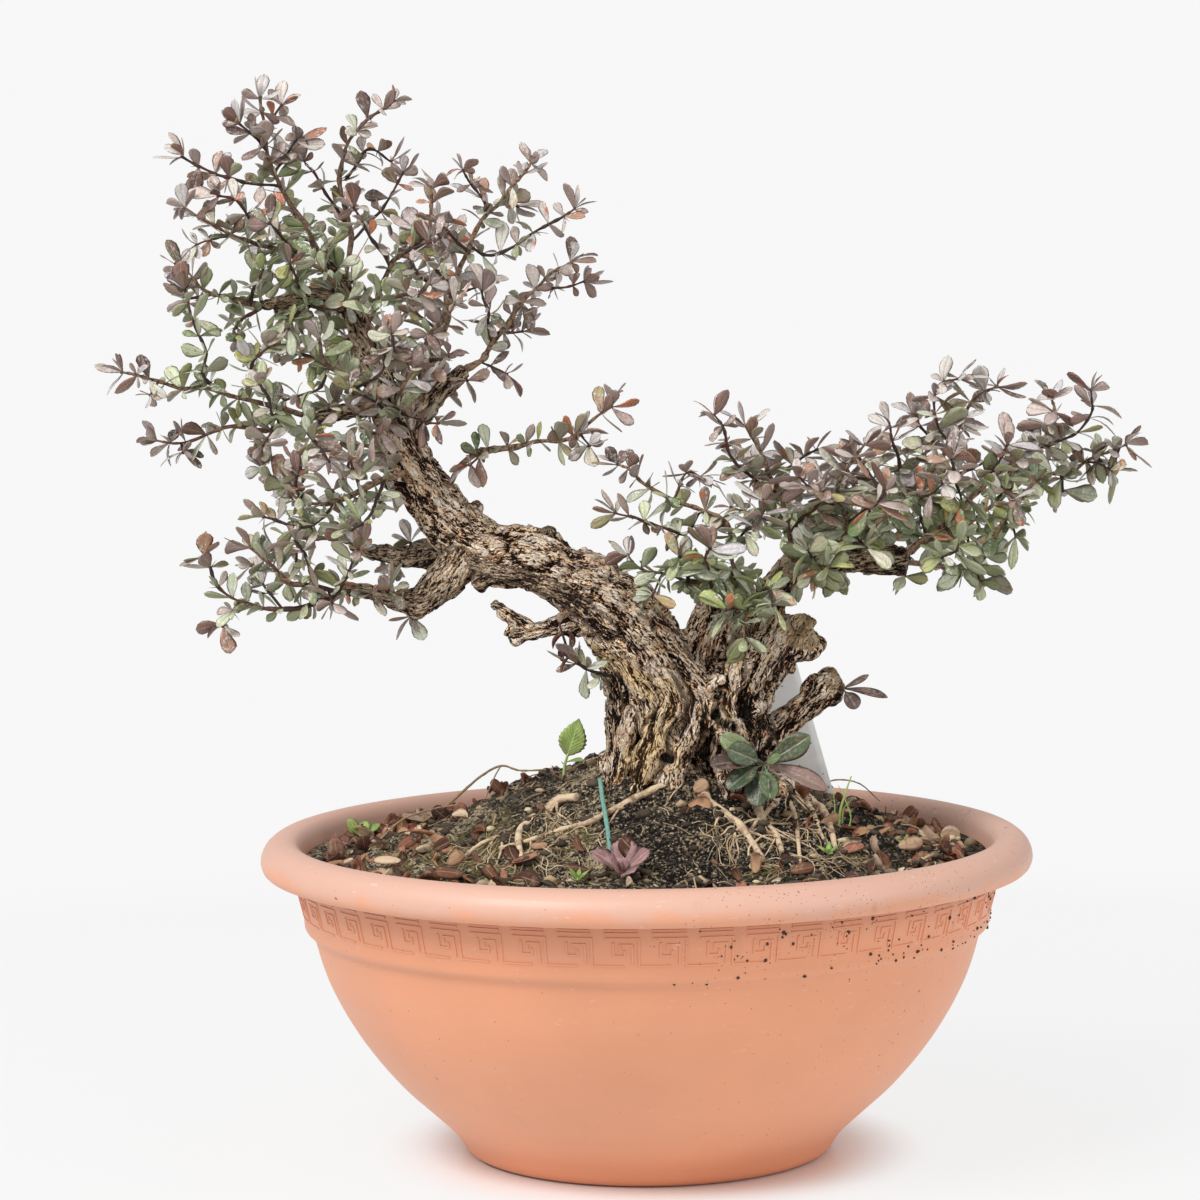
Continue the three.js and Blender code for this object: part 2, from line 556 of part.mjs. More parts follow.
// Half section of the bowl's outside from the base to the underside of the lip
function bowlOutside() {
  return [[BOWL_BASE_R, 0], [96.5, 5], [102.5, 13], [114, 24], [128, 37], [149.5, 63], [165, 92],
    [173, 117], [177.5, 122], [183, 148]];
}

// Rounded lip that overhangs the collar
function bowlLip() {
  return [[197, 149.5], [BOWL_RIM_R, 154], [198.5, 161], [193, 166], [187, BOWL_HEIGHT], [181, 164.5],
    [178.5, 158]];
}

// Half section of the bowl's inside from the lip down to the floor
function bowlInside() {
  return [[168.5, 116], [160.5, 92], [145, 63], [124, 39.5], [98, 14], [90, BOWL_FLOOR]];
}

function bowl() {
  const section = [[0, 0], ...bowlOutside(), ...bowlLip(), ...bowlInside(), [0, BOWL_FLOOR]];
  const turned = new THREE.LatheGeometry(section.map((p) => new THREE.Vector2(...p)), BOWL_SIDES);
  turned.rotateX(Math.PI / 2);
  let body = solid(turned);
  for (let i = 0; i < DRAIN_HOLES; i += 1) {
    const angle = (i + 0.5) * (2 * Math.PI / DRAIN_HOLES);
    const hole = new THREE.CylinderGeometry(DRAIN_HOLE_R, DRAIN_HOLE_R, BOWL_FLOOR * 4, 8);
    hole.rotateX(Math.PI / 2);
    hole.translate(Math.cos(angle) * DRAIN_CIRCLE_R, Math.sin(angle) * DRAIN_CIRCLE_R, 0);
    body = body.subtract(solid(hole));
  }
  return body;
}

// Compost that fills the bowl and heaps up round the trunk
function heap() {
  const inside = bowlInside().map(([r, z]) => [r - FIT_GAP, z + FIT_GAP]).reverse();
  const wallTop = 177 - FIT_GAP;
  const rings = [156, 120, 84, 48];
  const section = [[0, BOWL_FLOOR + FIT_GAP], ...inside, [wallTop, SOIL_EDGE_Z],
    ...rings.map((r) => [r, SOIL_EDGE_Z]), [0, SOIL_EDGE_Z]];
  const turned = new THREE.LatheGeometry(section.map((p) => new THREE.Vector2(...p)), BOWL_SIDES);
  turned.rotateX(Math.PI / 2);
  const position = turned.attributes.position;
  for (let i = 0; i < position.count; i += 1) {
    if (Math.abs(position.getZ(i) - SOIL_EDGE_Z) > 0.01) continue;
    const x = position.getX(i);
    const y = position.getY(i);
    const inner = 1 - Math.min(Math.hypot(x, y) / wallTop, 1) ** 8;
    const lump = (Math.sin(x * 0.13 + y * 0.07) + Math.sin(y * 0.17 - x * 0.05)) * 1.2 * inner;
    position.setZ(i, moundHeight(x, y) + lump);
  }
  return solid(turned);
}

// Fallen leaves lying half sunk in the compost, thicker towards the left and right of the rim
function litter() {
  const pieces = [];
  for (let i = 0; i < 15; i += 1) {
    const ring = 62 + 102 * Math.sqrt(chance(i, 5, 1));
    const angle = (i % 2 === 0 ? Math.PI : 0) + (chance(i, 6, 2) - 0.5) * 2.6;
    const x = ring * Math.cos(angle);
    const y = ring * Math.sin(angle);
    const heading = chance(i, 7, 3) * 6.283;
    const reach = new THREE.Vector3(Math.cos(heading), Math.sin(heading), 0.25).multiplyScalar(14);
    const foot = new THREE.Vector3(x, y, moundHeight(x, y) - 0.9);
    if (Math.hypot(x + reach.x, y + reach.y) > 168) continue;
    pieces.push(leaf(foot, reach, 7, (chance(i, 8, 4) - 0.5) * 0.8, 1.6));
  }
  return union(pieces);
}

function plantLabel(extra) {
  const height = 138;
  const strip = new THREE.BoxGeometry(LABEL_WIDTH + extra * 2, LABEL_THICKNESS + extra * 2,
    height + extra * 2);
  strip.rotateY(THREE.MathUtils.degToRad(-15.5));
  strip.translate(72, 43, 223);
  return solid(strip);
}

function tieWire(extra) {
  const path = [WIRE_R, WIRE_R, [-22, -24, 188], [-23.5, -30, 197.5], [-22.5, -44, 190], [-20.5, -60, 179.5],
    [-19, -76, 168.5], [-18.5, -83, 160]];
  return twig(path, 6, 2, extra);
}

// A weed's short stem in the compost with its leaves spread round it
function weed([[x, y], count, length, width, rise], extra) {
  const base = moundHeight(x, y);
  const stem = twig([1.3, 1.1, [x, y, base - 8], [x, y, base + 2.2]], 4, 1, extra);
  if (extra > 0) return stem;
  const top = new THREE.Vector3(x, y, base + 2.2 - FOOT_DEPTH);
  const tilt = THREE.MathUtils.degToRad(rise);
  const leaves = [];
  for (let i = 0; i < count; i += 1) {
    const heading = (i * 2 * Math.PI) / count + chance(count, i, 9) * 0.4;
    const size = length * (0.75 + 0.25 * chance(i, count, 3));
    const lift = tilt + (i % 2) * 0.28;
    const reach = new THREE.Vector3(Math.cos(heading) * Math.cos(lift), Math.sin(heading) * Math.cos(lift),
      Math.sin(lift)).multiplyScalar(size);
    leaves.push(leaf(top, reach, width, 0, LEAF_THICKNESS));
  }
  return union([stem, ...leaves]);
}

// Toothed outline of the seedling's large leaf
function toothedLeaf(length, width, teeth) {
  const shape = new THREE.Shape();
  shape.moveTo(0, 0);
  const edge = [];
  for (let i = 1; i < teeth * 2; i += 1) {
    const share = i / (teeth * 2);
    const half = (width / 2) * Math.sin(Math.PI * share ** 0.8) * (i % 2 === 0 ? 1 : 0.86);
    edge.push([half, length * (share + (i % 2 === 0 ? 0.035 : 0))]);
  }
  edge.forEach(([half, y]) => shape.lineTo(half, y));
  shape.lineTo(0, length * 1.02);
  edge.reverse().forEach(([half, y]) => shape.lineTo(-half, y));
  return shape;
}

function seedling(extra) {
  const stem = twig([1, 0.8, [-43, 6, 184], [-42, 5, 200], [-40, 3, 207]], 4, 1, extra);
  if (extra > 0) return stem;
  const large = new THREE.ExtrudeGeometry(toothedLeaf(20, 15, 4), { depth: 0.7, bevelEnabled: false });
  large.rotateX(Math.PI / 2);
  large.rotateY(0.35);
  large.translate(-40.5, 3.4, 205.5);
  const small = leaf(new THREE.Vector3(-41, 4, 203), new THREE.Vector3(8, -4, 2), 5, 0.3, LEAF_THICKNESS);
  return union([stem, solid(large), small]);
}

function grassBlade(extra) {
  return twig([1, 0.6, [99, -16, 166], [100, -16, 178], [103, -15, 188], [106, -14, 196]], 4, 1, extra);
}

// Large leaves from one bud, each as a length vector and a width, that face the open front
function handLeaves(path, leaves, wood) {
  const end = framesAlong(curveThrough(path.slice(2)), 8)[8];
  const bud = end.point.clone().addScaledVector(end.tangent, -FOOT_DEPTH);
  const front = new THREE.Vector3(0, -1, 0.5);
  const blades = leaves.map(([x, y, z, width], i) => {
    const reach = new THREE.Vector3(x, y, z);
    return leaf(bud, reach, width, rollTowards(reach, front) + (i % 2 ? 0.5 : -0.4), LEAF_THICKNESS);
  });
  return largestPiece(union([twig(path, 5, 1, 0), ...blades]).subtract(wood));
}

const group = new THREE.Group();
group.name = 'barberry_bonsai';

function add(name, manifold, material) {
  const mesh = new THREE.Mesh(geometryOf(manifold), material());
  mesh.name = name;
  group.add(mesh);
}

const tree = treeWood(0);
const woodRoom = treeWood(FIT_GAP);
const placed = [];
remember(placed, plantLabel(FIT_GAP));

add('bowl', bowl(), terracotta);
add('trunk', tree, bark);

let twigNumber = 0;
const foliage = {};
Object.entries(SPRAYS).forEach(([name, paths]) => {
  const body = spray(paths, twigNumber, woodRoom, placed);
  twigNumber += paths.length;
  remember(placed, body);
  foliage[name] = body;
});
const BASAL_PATH = [2.2, 1.4, [47, -13, 197], [56, -36, 203], [60, -44, 207]];
const STUB_PATH = [1.8, 1, [92, -6, 240], [99, -8, 241], [102, -9, 241]];
foliage.basal_sprout = handLeaves(BASAL_PATH, BASAL_LEAVES, woodRoom);
foliage.stub_sprout = handLeaves(STUB_PATH, STUB_LEAVES, woodRoom);
const PURPLE_SPRAYS = ['crown_tip', 'crown_high_twig', 'right_high', 'crown_left', 'left_branch', 'pad_top',
  'pad_right', 'right_mid', 'pad_up_left', 'back_top', 'pad_back', 'stub_sprout'];
Object.entries(foliage).forEach(([name, body]) => {
  add(name, body, PURPLE_SPRAYS.includes(name) ? purpleLeaf : greenLeaf);
});

const planted = [woodRoom, plantLabel(FIT_GAP), tieWire(FIT_GAP), seedling(FIT_GAP), grassBlade(FIT_GAP),
  twig(BASAL_PATH, 6, 1, FIT_GAP), ...Object.values(WEEDS).map((plan) => weed(plan, FIT_GAP))];
const soil = largestPiece(union([heap(), litter()]).subtract(union(planted)));
add('soil', soil, compost);

add('plant_label', plantLabel(0), labelPlastic);
add('tie_wire', tieWire(0).subtract(woodRoom), wireCoat);
add('seedling', seedling(0).subtract(woodRoom), brightLeaf);
add('grass_blade', grassBlade(0).subtract(woodRoom), brightLeaf);
Object.entries(WEEDS).forEach(([name, plan]) => {
  const body = largestPiece(weed(plan, 0).subtract(soil).subtract(woodRoom));
  add(name, body, name === 'weed_purple' ? weedLeaf : brightLeaf);
});

export default group;
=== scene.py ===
import math

import bpy
import numpy as np
from mathutils import Matrix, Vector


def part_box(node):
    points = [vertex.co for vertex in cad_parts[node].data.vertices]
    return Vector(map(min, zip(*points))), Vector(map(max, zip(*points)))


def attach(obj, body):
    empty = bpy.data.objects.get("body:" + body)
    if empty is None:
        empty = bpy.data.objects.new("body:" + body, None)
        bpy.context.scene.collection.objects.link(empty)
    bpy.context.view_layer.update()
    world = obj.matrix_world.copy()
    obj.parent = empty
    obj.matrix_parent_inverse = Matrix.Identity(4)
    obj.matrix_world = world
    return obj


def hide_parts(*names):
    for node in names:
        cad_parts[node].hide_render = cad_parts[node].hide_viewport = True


bl_info = {
    "name": "Barberry bonsai in a terracotta bowl",
    "version": (1, 0, 0),
    "blender": (4, 5, 0),
    "location": "View3D > Sidebar > Bonsai",
    "description": "Builds the bark, leaves, compost and bowl of a bonsai over its plain frame",
    "category": "Add Mesh",
}

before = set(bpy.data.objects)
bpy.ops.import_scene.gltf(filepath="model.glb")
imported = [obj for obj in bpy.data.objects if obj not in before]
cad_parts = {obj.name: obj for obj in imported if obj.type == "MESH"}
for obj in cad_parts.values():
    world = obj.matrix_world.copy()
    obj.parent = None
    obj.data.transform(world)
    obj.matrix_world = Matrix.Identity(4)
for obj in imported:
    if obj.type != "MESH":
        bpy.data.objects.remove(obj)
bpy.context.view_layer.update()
MM = 0.001
BOWL_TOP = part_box("bowl")[1].z

# Half section of the bowl in millimetres, radius and height, from the middle of its base round the lip to
# the middle of its floor
BOWL_OUTSIDE = [[86, 1.2], [88, 0.2], [90.5, 0], [95, 2.2], [97.2, 5.5], [99.2, 9.5], [103.5, 14.4],
    [114.5, 24.6], [128.4, 37.2], [140, 50.5], [150, 64], [158.5, 78], [165.4, 92], [169.3, 103],
    [172, 113], [173.2, 117.2], [176.4, 119], [177.9, 121.4], [177.9, 124.2], [178.1, 127.5], [182.9, 147.4]]
BOWL_LIP = [[184.2, 148.7], [189, 148.6], [195.6, 148.8], [198.6, 150.2], [200, 154], [199.6, 158],
    [197.4, 162.4], [193, 165.9], [187.4, 167], [182.4, 165.6], [179.6, 162], [178.4, 157]]
BOWL_INSIDE = [[168.5, 116], [160.5, 92], [145, 63], [124, 39.5], [98, 14], [90, 6]]

# Radius of the collar that bears the key pattern
COLLAR_REACH = 180.0

# Drain holes: their circle, their radius and the floor's section on both sides of them
DRAIN_CIRCLE = 52
DRAIN_HOLE = 6
DRAIN_LOW = [[46, 1.2], [58, 1.2]]
DRAIN_HIGH = [[58, 6], [46, 6]]

# Heap of compost: the place of its peak, its reach, the height of its edge, its rise, how much steeper its
# front is, and where the bowl's wall stops it
HEAP_PEAK = [5.0, 12.0]
HEAP_REACH = 175
HEAP_EDGE = 156
HEAP_RISE = 49
HEAP_STEEPER = 1.3
SOIL_REACH = 176.6

# Blank label: width and length, place of its middle and tilt in degrees
LABEL_SIZE = [31.0, 138.0]
LABEL_PLACE = [72, 43, 223]
LABEL_TILT = -15.5

# Camera: place in metres, tilt down and roll in degrees. Lamps: name, place, size and share of the power
CAMERA_PLACE = (-0.02264, -2.060, 0.4738)
CAMERA_DOWN = 5.171
CAMERA_ROLL = 0.616
LIGHTS_AIM = [0, 0, 0.25]
LAMPS = [["key", (-1.5, -1.6, 2.4), 1.3, 1.0], ["fill", (1.9, -1.3, 1.2), 1.6, 0.16]]

# Order of the two finishes on a spray, steps along a twig, and turns in radians: from tuft to tuft, from
# leaf to leaf in a tuft, and a whole one
TWIG, BLADE = 0, 1
TWIG_STEPS = 40
TUFT_TURN = 2.4
LEAF_TURN = 2.1
FULL_TURN = 6.283

# Centre lines of the old wood in millimetres, each point with its radius
LIMBS = {
    "trunk": [[9, 0, 156, 32], [8, 0, 183, 29], [6, 0, 215, 26], [5, -2, 240, 25], [-2, -4, 264, 23],
        [-16, -6, 284, 20], [-35, -6, 298, 17], [-59, -4, 309, 15], [-80, 0, 312, 15], [-96, 2, 324, 14],
        [-108, 2, 341, 12.5], [-118, 0, 358, 11.5], [-126, 0, 376, 10.5], [-133, 2, 396, 9],
        [-140, 4, 417, 8], [-146, 6, 432, 6.5], [-154, 6, 450, 5], [-164, 4, 467, 3.5]],
    "right_base": [[36, 4, 156, 30], [38, 4, 187, 27], [39, 4, 216, 25], [35, 4, 239, 20], [29, 2, 258, 14],
        [41, 0, 283, 11.5]],
    "big_stump": [[40, -8, 220, 20], [53, -10, 245, 15], [64, -12, 259, 12], [76, -14, 272, 12]],
    "low_stub": [[48, 0, 208, 9], [70, -4, 221, 7.5], [83, -6, 232, 7], [95, -6, 241, 7.5]],
    "pad_limb": [[44, 22, 237, 14], [57, 26, 263, 10], [67, 20, 285, 9], [79, 8, 302, 8.5], [96, 0, 309, 8],
        [116, -4, 308, 8], [135, -4, 306, 7]],
    "low_limb": [[-89, -2, 315, 11], [-104, -8, 298, 9.5], [-116, -12, 289, 7], [-129, -16, 290, 4.5],
        [-142, -20, 295, 3.6], [-156, -24, 296, 2.8]],
    "back_limb": [[-94, 8, 316, 9], [-116, 22, 309, 6.5], [-138, 38, 310, 4.5], [-155, 48, 314, 3]],
    "fork_limb": [[-125, 0, 371, 8], [-112, -2, 388, 6.5], [-102, -4, 398, 5.5], [-91, -4, 407, 5]],
    "left_limb": [[-131, 0, 391, 6], [-150, -12, 387, 4.2], [-166, -18, 384, 3.2]],
    "upper_left_limb": [[-150, 6, 441, 5], [-172, -8, 445, 4], [-193, -16, 441, 3.2]],
    "stub_left": [[-30, -6, 277, 9], [-50, -8, 273, 4.8], [-63, -8, 271, 4]],
    "stub_left_fork": [[-56, -8, 272, 4.2], [-74, -8, 283, 3.6]],
    "stub_under": [[-70, -8, 303, 5], [-87, -14, 298, 4.2]],
    "stub_up": [[-97, 0, 330, 4.5], [-91, -2, 337, 3.4]],
    "knob_top": [[-57, -2, 313, 6], [-52, -4, 321, 5]],
}
ROOTS = [
    [2.6, 1.0, [35, 0, 208], [23, -19, 198], [13, -28, 195], [4, -34, 192], [-7, -40, 189], [-18, -46, 184],
        [-30, -52, 179], [-44, -54, 175], [-59, -56, 171], [-75, -58, 167]],
    [2.8, 1.6, [28, -26, 194], [31, -38, 188], [38, -48, 182], [46, -57, 176], [52, -69, 169],
        [58, -84, 162]],
    [1.8, 1.0, [62, 0, 199], [69, 0, 195], [73, -9, 186], [76, -37, 177], [76, -84, 160]],
    [1.6, 0.9, [70, 0, 195], [73, -4, 188], [64, -30, 183], [57, -46, 179], [52, -61, 173]],
    [2.4, 1.4, [65, 0, 199], [76, 0, 191], [86, -2, 182], [92, -15, 178], [94, -36, 172], [95, -57, 164]],
    [1.3, 0.9, [83, -7, 183], [86, -25, 178], [88, -42, 172], [89, -56, 166]],
    [2.4, 1.3, [56, -34, 184], [60, -48, 177], [65, -57, 172], [67, -76, 164]],
    [2.4, 1.6, [-35, -31, 189], [-46, -28, 187], [-54, -38, 180], [-65, -50, 172], [-63, -78, 162]],
    [1.5, 0.9, [-65, -50, 172], [-69, -54, 169], [-76, -46, 171], [-86, -48, 167], [-94, -58, 162]],
]

# Sprays: each twig has its radius at the foot, its radius at the tip and the points it passes; a side twig
# that starts on its spray's first twig gives the number of that point
SPRAYS = {
    "crown_tip": [
        [2.6, 1.2, [-154, 6, 450], [-166, 3, 469], [-176, 0, 489], [-188, -4, 509], [-192, -4, 528],
            [-192, -6, 548]],
        [1.4, 0.9, [-184, -2, 502], [-210, -14, 506], [-232, -22, 517]],
        [1.3, 0.9, [-191, -4, 520], [-203, -14, 535]],
        [1.2, 0.9, [-192, -4, 532], [-182, 4, 544]],
        [1.3, 0.9, 3, [-176, 10, 526]]],
    "crown_left": [
        [2.8, 0.9, [-149, 5, 440], [-165, -14, 460], [-192, -28, 471], [-213, -36, 482], [-229, -38, 492]],
        [1.4, 0.8, 2, [-202, -34, 492], [-213, -36, 497]],
        [1.4, 1, [-173, -20, 463], [-187, -44, 484]],
        [1.2, 0.9, [-207, -34, 479], [-224, -44, 471]]],
    "dark_branch": [
        [3, 1, [-193, -16, 441], [-206, -20, 444], [-217, -24, 449], [-234, -26, 463]],
        [1.3, 1, 2, [-233, -22, 446]],
        [1.6, 1, [-199, -18, 442], [-191, -38, 461]],
        [1.6, 0.9, 0, [-207, -32, 431], [-204, -36, 427]],
        [1.4, 1, [-174, -8, 445], [-176, -40, 463]],
        [1.6, 1, [-172, -8, 444], [-179, -34, 429]]],
    "left_branch": [
        [2.8, 0.8, [-166, -18, 384], [-202, -24, 393], [-224, -28, 399], [-252, -30, 406],
            [-265, -30, 409]],
        [1.6, 0.8, [-214, -26, 396], [-221, -36, 407], [-222, -38, 420], [-225, -38, 432],
            [-230, -36, 450]],
        [1.5, 0.9, 1, [-197, -32, 411], [-188, -34, 421]],
        [1.1, 0.8, [-245, -30, 404], [-249, -34, 397]]],
    "left_lower_branch": [
        [2.6, 0.9, [-157, -14, 385], [-169, -11, 379], [-186, -16, 379], [-212, -20, 379],
            [-235, -18, 373], [-248, -18, 375]],
        [1.5, 0.9, 2, [-188, -44, 392], [-191, -54, 404]],
        [1.5, 1, [-190, -18, 380], [-193, -36, 370]],
        [1.1, 0.8, 4, [-233, -20, 367]],
        [1.5, 0.9, [-170, -16, 383], [-164, -42, 371], [-158, -50, 363]]],
    "left_shoulder": [
        [2.6, 1.1, [-149, -12, 387], [-148, -26, 401], [-158, -36, 414], [-163, -40, 425]],
        [1.5, 0.8, [-149, -24, 397], [-132, -48, 408], [-128, -56, 418]],
        [1.4, 0.9, [-155, -34, 410], [-174, -26, 416], [-183, -24, 419]]],
    "low_front": [
        [3.2, 1, [-118, -2, 357], [-132, -22, 351], [-154, -30, 343], [-175, -30, 342], [-193, -28, 359]],
        [1.5, 0.9, 2, [-173, -34, 329], [-194, -34, 335]],
        [1.6, 0.9, 1, [-137, -48, 337], [-148, -56, 329]],
        [1.5, 1, [-143, -26, 347], [-148, -48, 364]],
        [1.3, 0.9, 3, [-175, -46, 356]]],
    "low_left": [
        [2.6, 1, [-156, -24, 296], [-177, -24, 300], [-191, -26, 309], [-201, -26, 318]],
        [1.5, 0.9, [-167, -24, 298], [-173, -38, 315], [-178, -42, 323]],
        [1.5, 0.9, 0, [-148, -48, 312], [-145, -54, 320]],
        [1.3, 0.9, [-161, -24, 297], [-157, -36, 289]]],
    "lowest_left": [
        [2.2, 0.8, [-147, -21, 295], [-177, -14, 288], [-198, -14, 288], [-211, -14, 290],
            [-221, -14, 304], [-226, -14, 314]],
        [1.2, 0.8, [-209, -14, 289], [-217, -10, 276]],
        [1.2, 0.9, [-187, -14, 288], [-197, -2, 300]]],
    "back_low": [
        [2.6, 1, [-155, 48, 314], [-172, 60, 317], [-191, 70, 311], [-209, 74, 301]],
        [1.5, 0.9, 1, [-182, 70, 333], [-191, 74, 344]],
        [1.5, 0.9, 0, [-158, 70, 328], [-167, 80, 340]],
        [1.2, 0.9, [-182, 66, 313], [-185, 76, 296]]],
    "crown_front_twig": [
        [2.8, 0.8, [-139, 2, 417], [-137, -22, 438], [-128, -30, 461], [-118, -32, 467], [-109, -32, 476],
            [-107, -32, 491], [-107, -32, 501]],
        [1.5, 0.9, 2, [-138, -44, 478], [-145, -48, 490]],
        [1.5, 0.9, [-137, -25, 444], [-116, -56, 446], [-105, -64, 452]],
        [1.3, 0.9, 3, [-101, -46, 475]]],
    "crown_high_twig": [
        [2.6, 0.8, [-152, 6, 447], [-149, 18, 474], [-155, 22, 497], [-153, 20, 515], [-146, 18, 531],
            [-135, 18, 540], [-127, 18, 547]],
        [1.5, 0.8, [-152, 20, 483], [-169, 16, 507], [-173, 14, 516]],
        [1.4, 0.8, [-152, 20, 505], [-139, 34, 520], [-129, 40, 516]],
        [1.5, 0.9, 1, [-132, 30, 492], [-122, 34, 510]]],
    "right_high": [
        [3.6, 0.8, [-101, -4, 399], [-106, 2, 418], [-98, 2, 437], [-92, -2, 462], [-82, -4, 482],
            [-72, -6, 494], [-59, -6, 508], [-55, -6, 514]],
        [1.6, 0.8, [-88, -2, 469], [-74, -8, 467], [-55, -10, 476], [-42, -10, 485], [-33, -10, 490]],
        [1.6, 0.9, [-95, 0, 449], [-110, 14, 464], [-118, 22, 478]],
        [1.4, 0.8, [-77, -4, 487], [-86, -18, 502], [-90, -22, 508]],
        [1.5, 1, [-89, -2, 466], [-102, -18, 483]],
        [1.3, 0.9, [-74, -5, 492], [-62, 8, 490]]],
    "right_mid": [
        [3.2, 0.8, [-91, -4, 407], [-82, 0, 411], [-77, 2, 419], [-66, 4, 434], [-55, 6, 446],
            [-47, 6, 456], [-35, 8, 462]],
        [1.3, 0.8, 4, [-43, 10, 449], [-27, 12, 452]],
        [1.4, 0.9, [-76, 2, 422], [-79, -18, 440], [-81, -24, 448]],
        [1.3, 0.9, [-73, 2, 426], [-60, 14, 427]],
        [1.3, 0.9, 1, [-70, -8, 405]]],
    "crown_centre": [
        [3, 0.9, [-112, -4, 388], [-113, -24, 404], [-109, -38, 420], [-98, -46, 435], [-92, -50, 444]],
        [1.6, 0.9, 1, [-123, -56, 418], [-125, -62, 429]],
        [1.5, 1, [-112, -30, 410], [-97, -54, 416]],
        [1.3, 0.9, [-104, -42, 429], [-115, -34, 439]]],
    "crown_fill": [
        [2.8, 1, [-126, -4, 378], [-127, -30, 391], [-120, -50, 402], [-113, -60, 411]],
        [1.5, 0.8, [-126, -24, 388], [-139, -44, 394], [-147, -50, 400]],
        [1.5, 0.8, 1, [-112, -42, 383], [-102, -46, 381]],
        [1.4, 1, [-126, -14, 383], [-136, -36, 376]]],
    "back_top": [
        [3, 0.9, [-146, 8, 432], [-153, 40, 448], [-165, 62, 466], [-180, 76, 482], [-189, 82, 493]],
        [1.6, 0.9, 1, [-176, 58, 450], [-192, 66, 452]],
        [1.5, 0.9, 2, [-157, 80, 486], [-154, 86, 498]],
        [1.3, 0.9, [-173, 70, 474], [-197, 84, 472]]],
    "back_right": [
        [3, 0.9, [-139, 6, 415], [-130, 40, 427], [-117, 64, 444], [-106, 78, 462], [-102, 84, 474]],
        [1.6, 0.9, 1, [-125, 64, 415], [-112, 78, 416]],
        [1.5, 0.9, 2, [-95, 76, 447], [-81, 82, 452]],
        [1.3, 0.9, [-113, 70, 452], [-127, 84, 470]]],
    "back_left": [
        [3, 0.9, [-133, 8, 396], [-144, 42, 403], [-164, 64, 410], [-186, 78, 416], [-202, 84, 415]],
        [1.6, 0.9, 1, [-153, 62, 419], [-165, 72, 431]],
        [1.5, 0.9, 2, [-174, 78, 394], [-190, 84, 388]],
        [1.3, 0.9, [-176, 72, 413], [-184, 84, 432]]],
    "back_mid": [
        [2.8, 0.9, [-121, 8, 363], [-133, 40, 363], [-151, 60, 365], [-171, 72, 362], [-184, 78, 356]],
        [1.5, 0.9, 1, [-130, 62, 347], [-140, 72, 334]],
        [1.4, 0.9, 2, [-159, 76, 349]]],
    "middle_twig": [
        [3.6, 0.9, [-104, -2, 344], [-92, -8, 359], [-83, -10, 366], [-72, -10, 368], [-56, -10, 370],
            [-40, -10, 372], [-31, -10, 375], [-23, -8, 384], [-15, -8, 389]],
        [1.2, 0.8, 6, [-25, -14, 368]],
        [1.4, 0.8, 2, [-88, -20, 358]]],
    "pad_left_long": [
        [3.6, 0.8, [54, 20, 264], [48, -8, 286], [45, -26, 309], [41, -32, 330], [28, -32, 336],
            [6, -30, 346], [-5, -28, 355], [-15, -26, 359]],
        [1.5, 0.8, 4, [20, -36, 323], [4, -38, 329], [-16, -38, 336]],
        [1.3, 0.8, [15, -31, 342], [24, -26, 354], [31, -24, 351]],
        [1.4, 0.8, [45, -29, 317], [58, -48, 331], [61, -52, 342]]],
    "pad_left_low": [
        [2.6, 0.8, [38, -4, 281], [34, -20, 293], [24, -33, 299], [9, -38, 303], [-4, -40, 308],
            [-9, -40, 313]],
        [1.4, 1, 2, [18, -48, 314]],
        [1.3, 0.9, 3, [3, -46, 293]],
        [1.4, 0.8, [34, -30, 295], [32, -50, 312], [34, -54, 319]]],
    "pad_hanging": [
        [2.8, 0.8, [64, 14, 281], [60, -14, 290], [54, -36, 291], [51, -52, 282], [51, -56, 270]],
        [1.5, 0.8, 2, [62, -52, 297], [64, -58, 289]],
        [1.4, 0.9, [53, -42, 289], [40, -56, 287]]],
    "pad_up_left": [
        [3.2, 0.9, [79, 4, 303], [76, -8, 323], [72, -16, 339], [65, -20, 355], [58, -20, 367],
            [52, -20, 379]],
        [1.5, 0.8, [70, -17, 343], [49, -26, 358], [41, -28, 373], [35, -28, 385]],
        [1.6, 0.9, 1, [89, -34, 340], [90, -38, 350]],
        [1.3, 0.8, [68, -18, 349], [81, -8, 359], [90, -4, 363]]],
    "pad_front_rosette": [
        [2.6, 1.2, [87, -4, 307], [89, -26, 305], [93, -40, 307]],
        [1.3, 0.9, [88, -20, 305], [82, -42, 314]]],
    "pad_mid": [
        [3.2, 0.9, [99, -4, 309], [103, -22, 329], [99, -32, 346], [105, -36, 360], [111, -38, 369]],
        [1.6, 0.9, 1, [116, -44, 338], [122, -50, 346]],
        [1.4, 0.8, [101, -28, 339], [85, -48, 347], [78, -52, 353]],
        [1.5, 0.9, [104, -18, 324], [112, -46, 317]]],
    "pad_top": [
        [3.4, 0.8, [111, -4, 308], [115, 0, 321], [130, 4, 333], [137, 6, 343], [152, 8, 355],
            [161, 10, 368], [172, 12, 387], [184, 12, 394]],
        [1.6, 0.9, 3, [130, -6, 363], [126, -10, 377]],
        [1.4, 0.8, [158, 10, 365], [151, 2, 385], [154, 2, 396], [165, 2, 400]],
        [1.6, 0.9, 2, [119, 20, 349], [115, 26, 361]],
        [1.5, 0.8, [133, 5, 337], [144, -26, 340], [153, -32, 348]]],
    "pad_right": [
        [3.2, 0.8, [132, -6, 306], [147, -14, 320], [163, -20, 334], [180, -22, 351], [200, -20, 363],
            [210, -18, 381], [209, -18, 390]],
        [1.5, 0.9, [175, -21, 346], [181, -32, 358], [185, -36, 368]],
        [1.3, 0.8, 4, [222, -14, 372], [231, -12, 384], [231, -12, 395]],
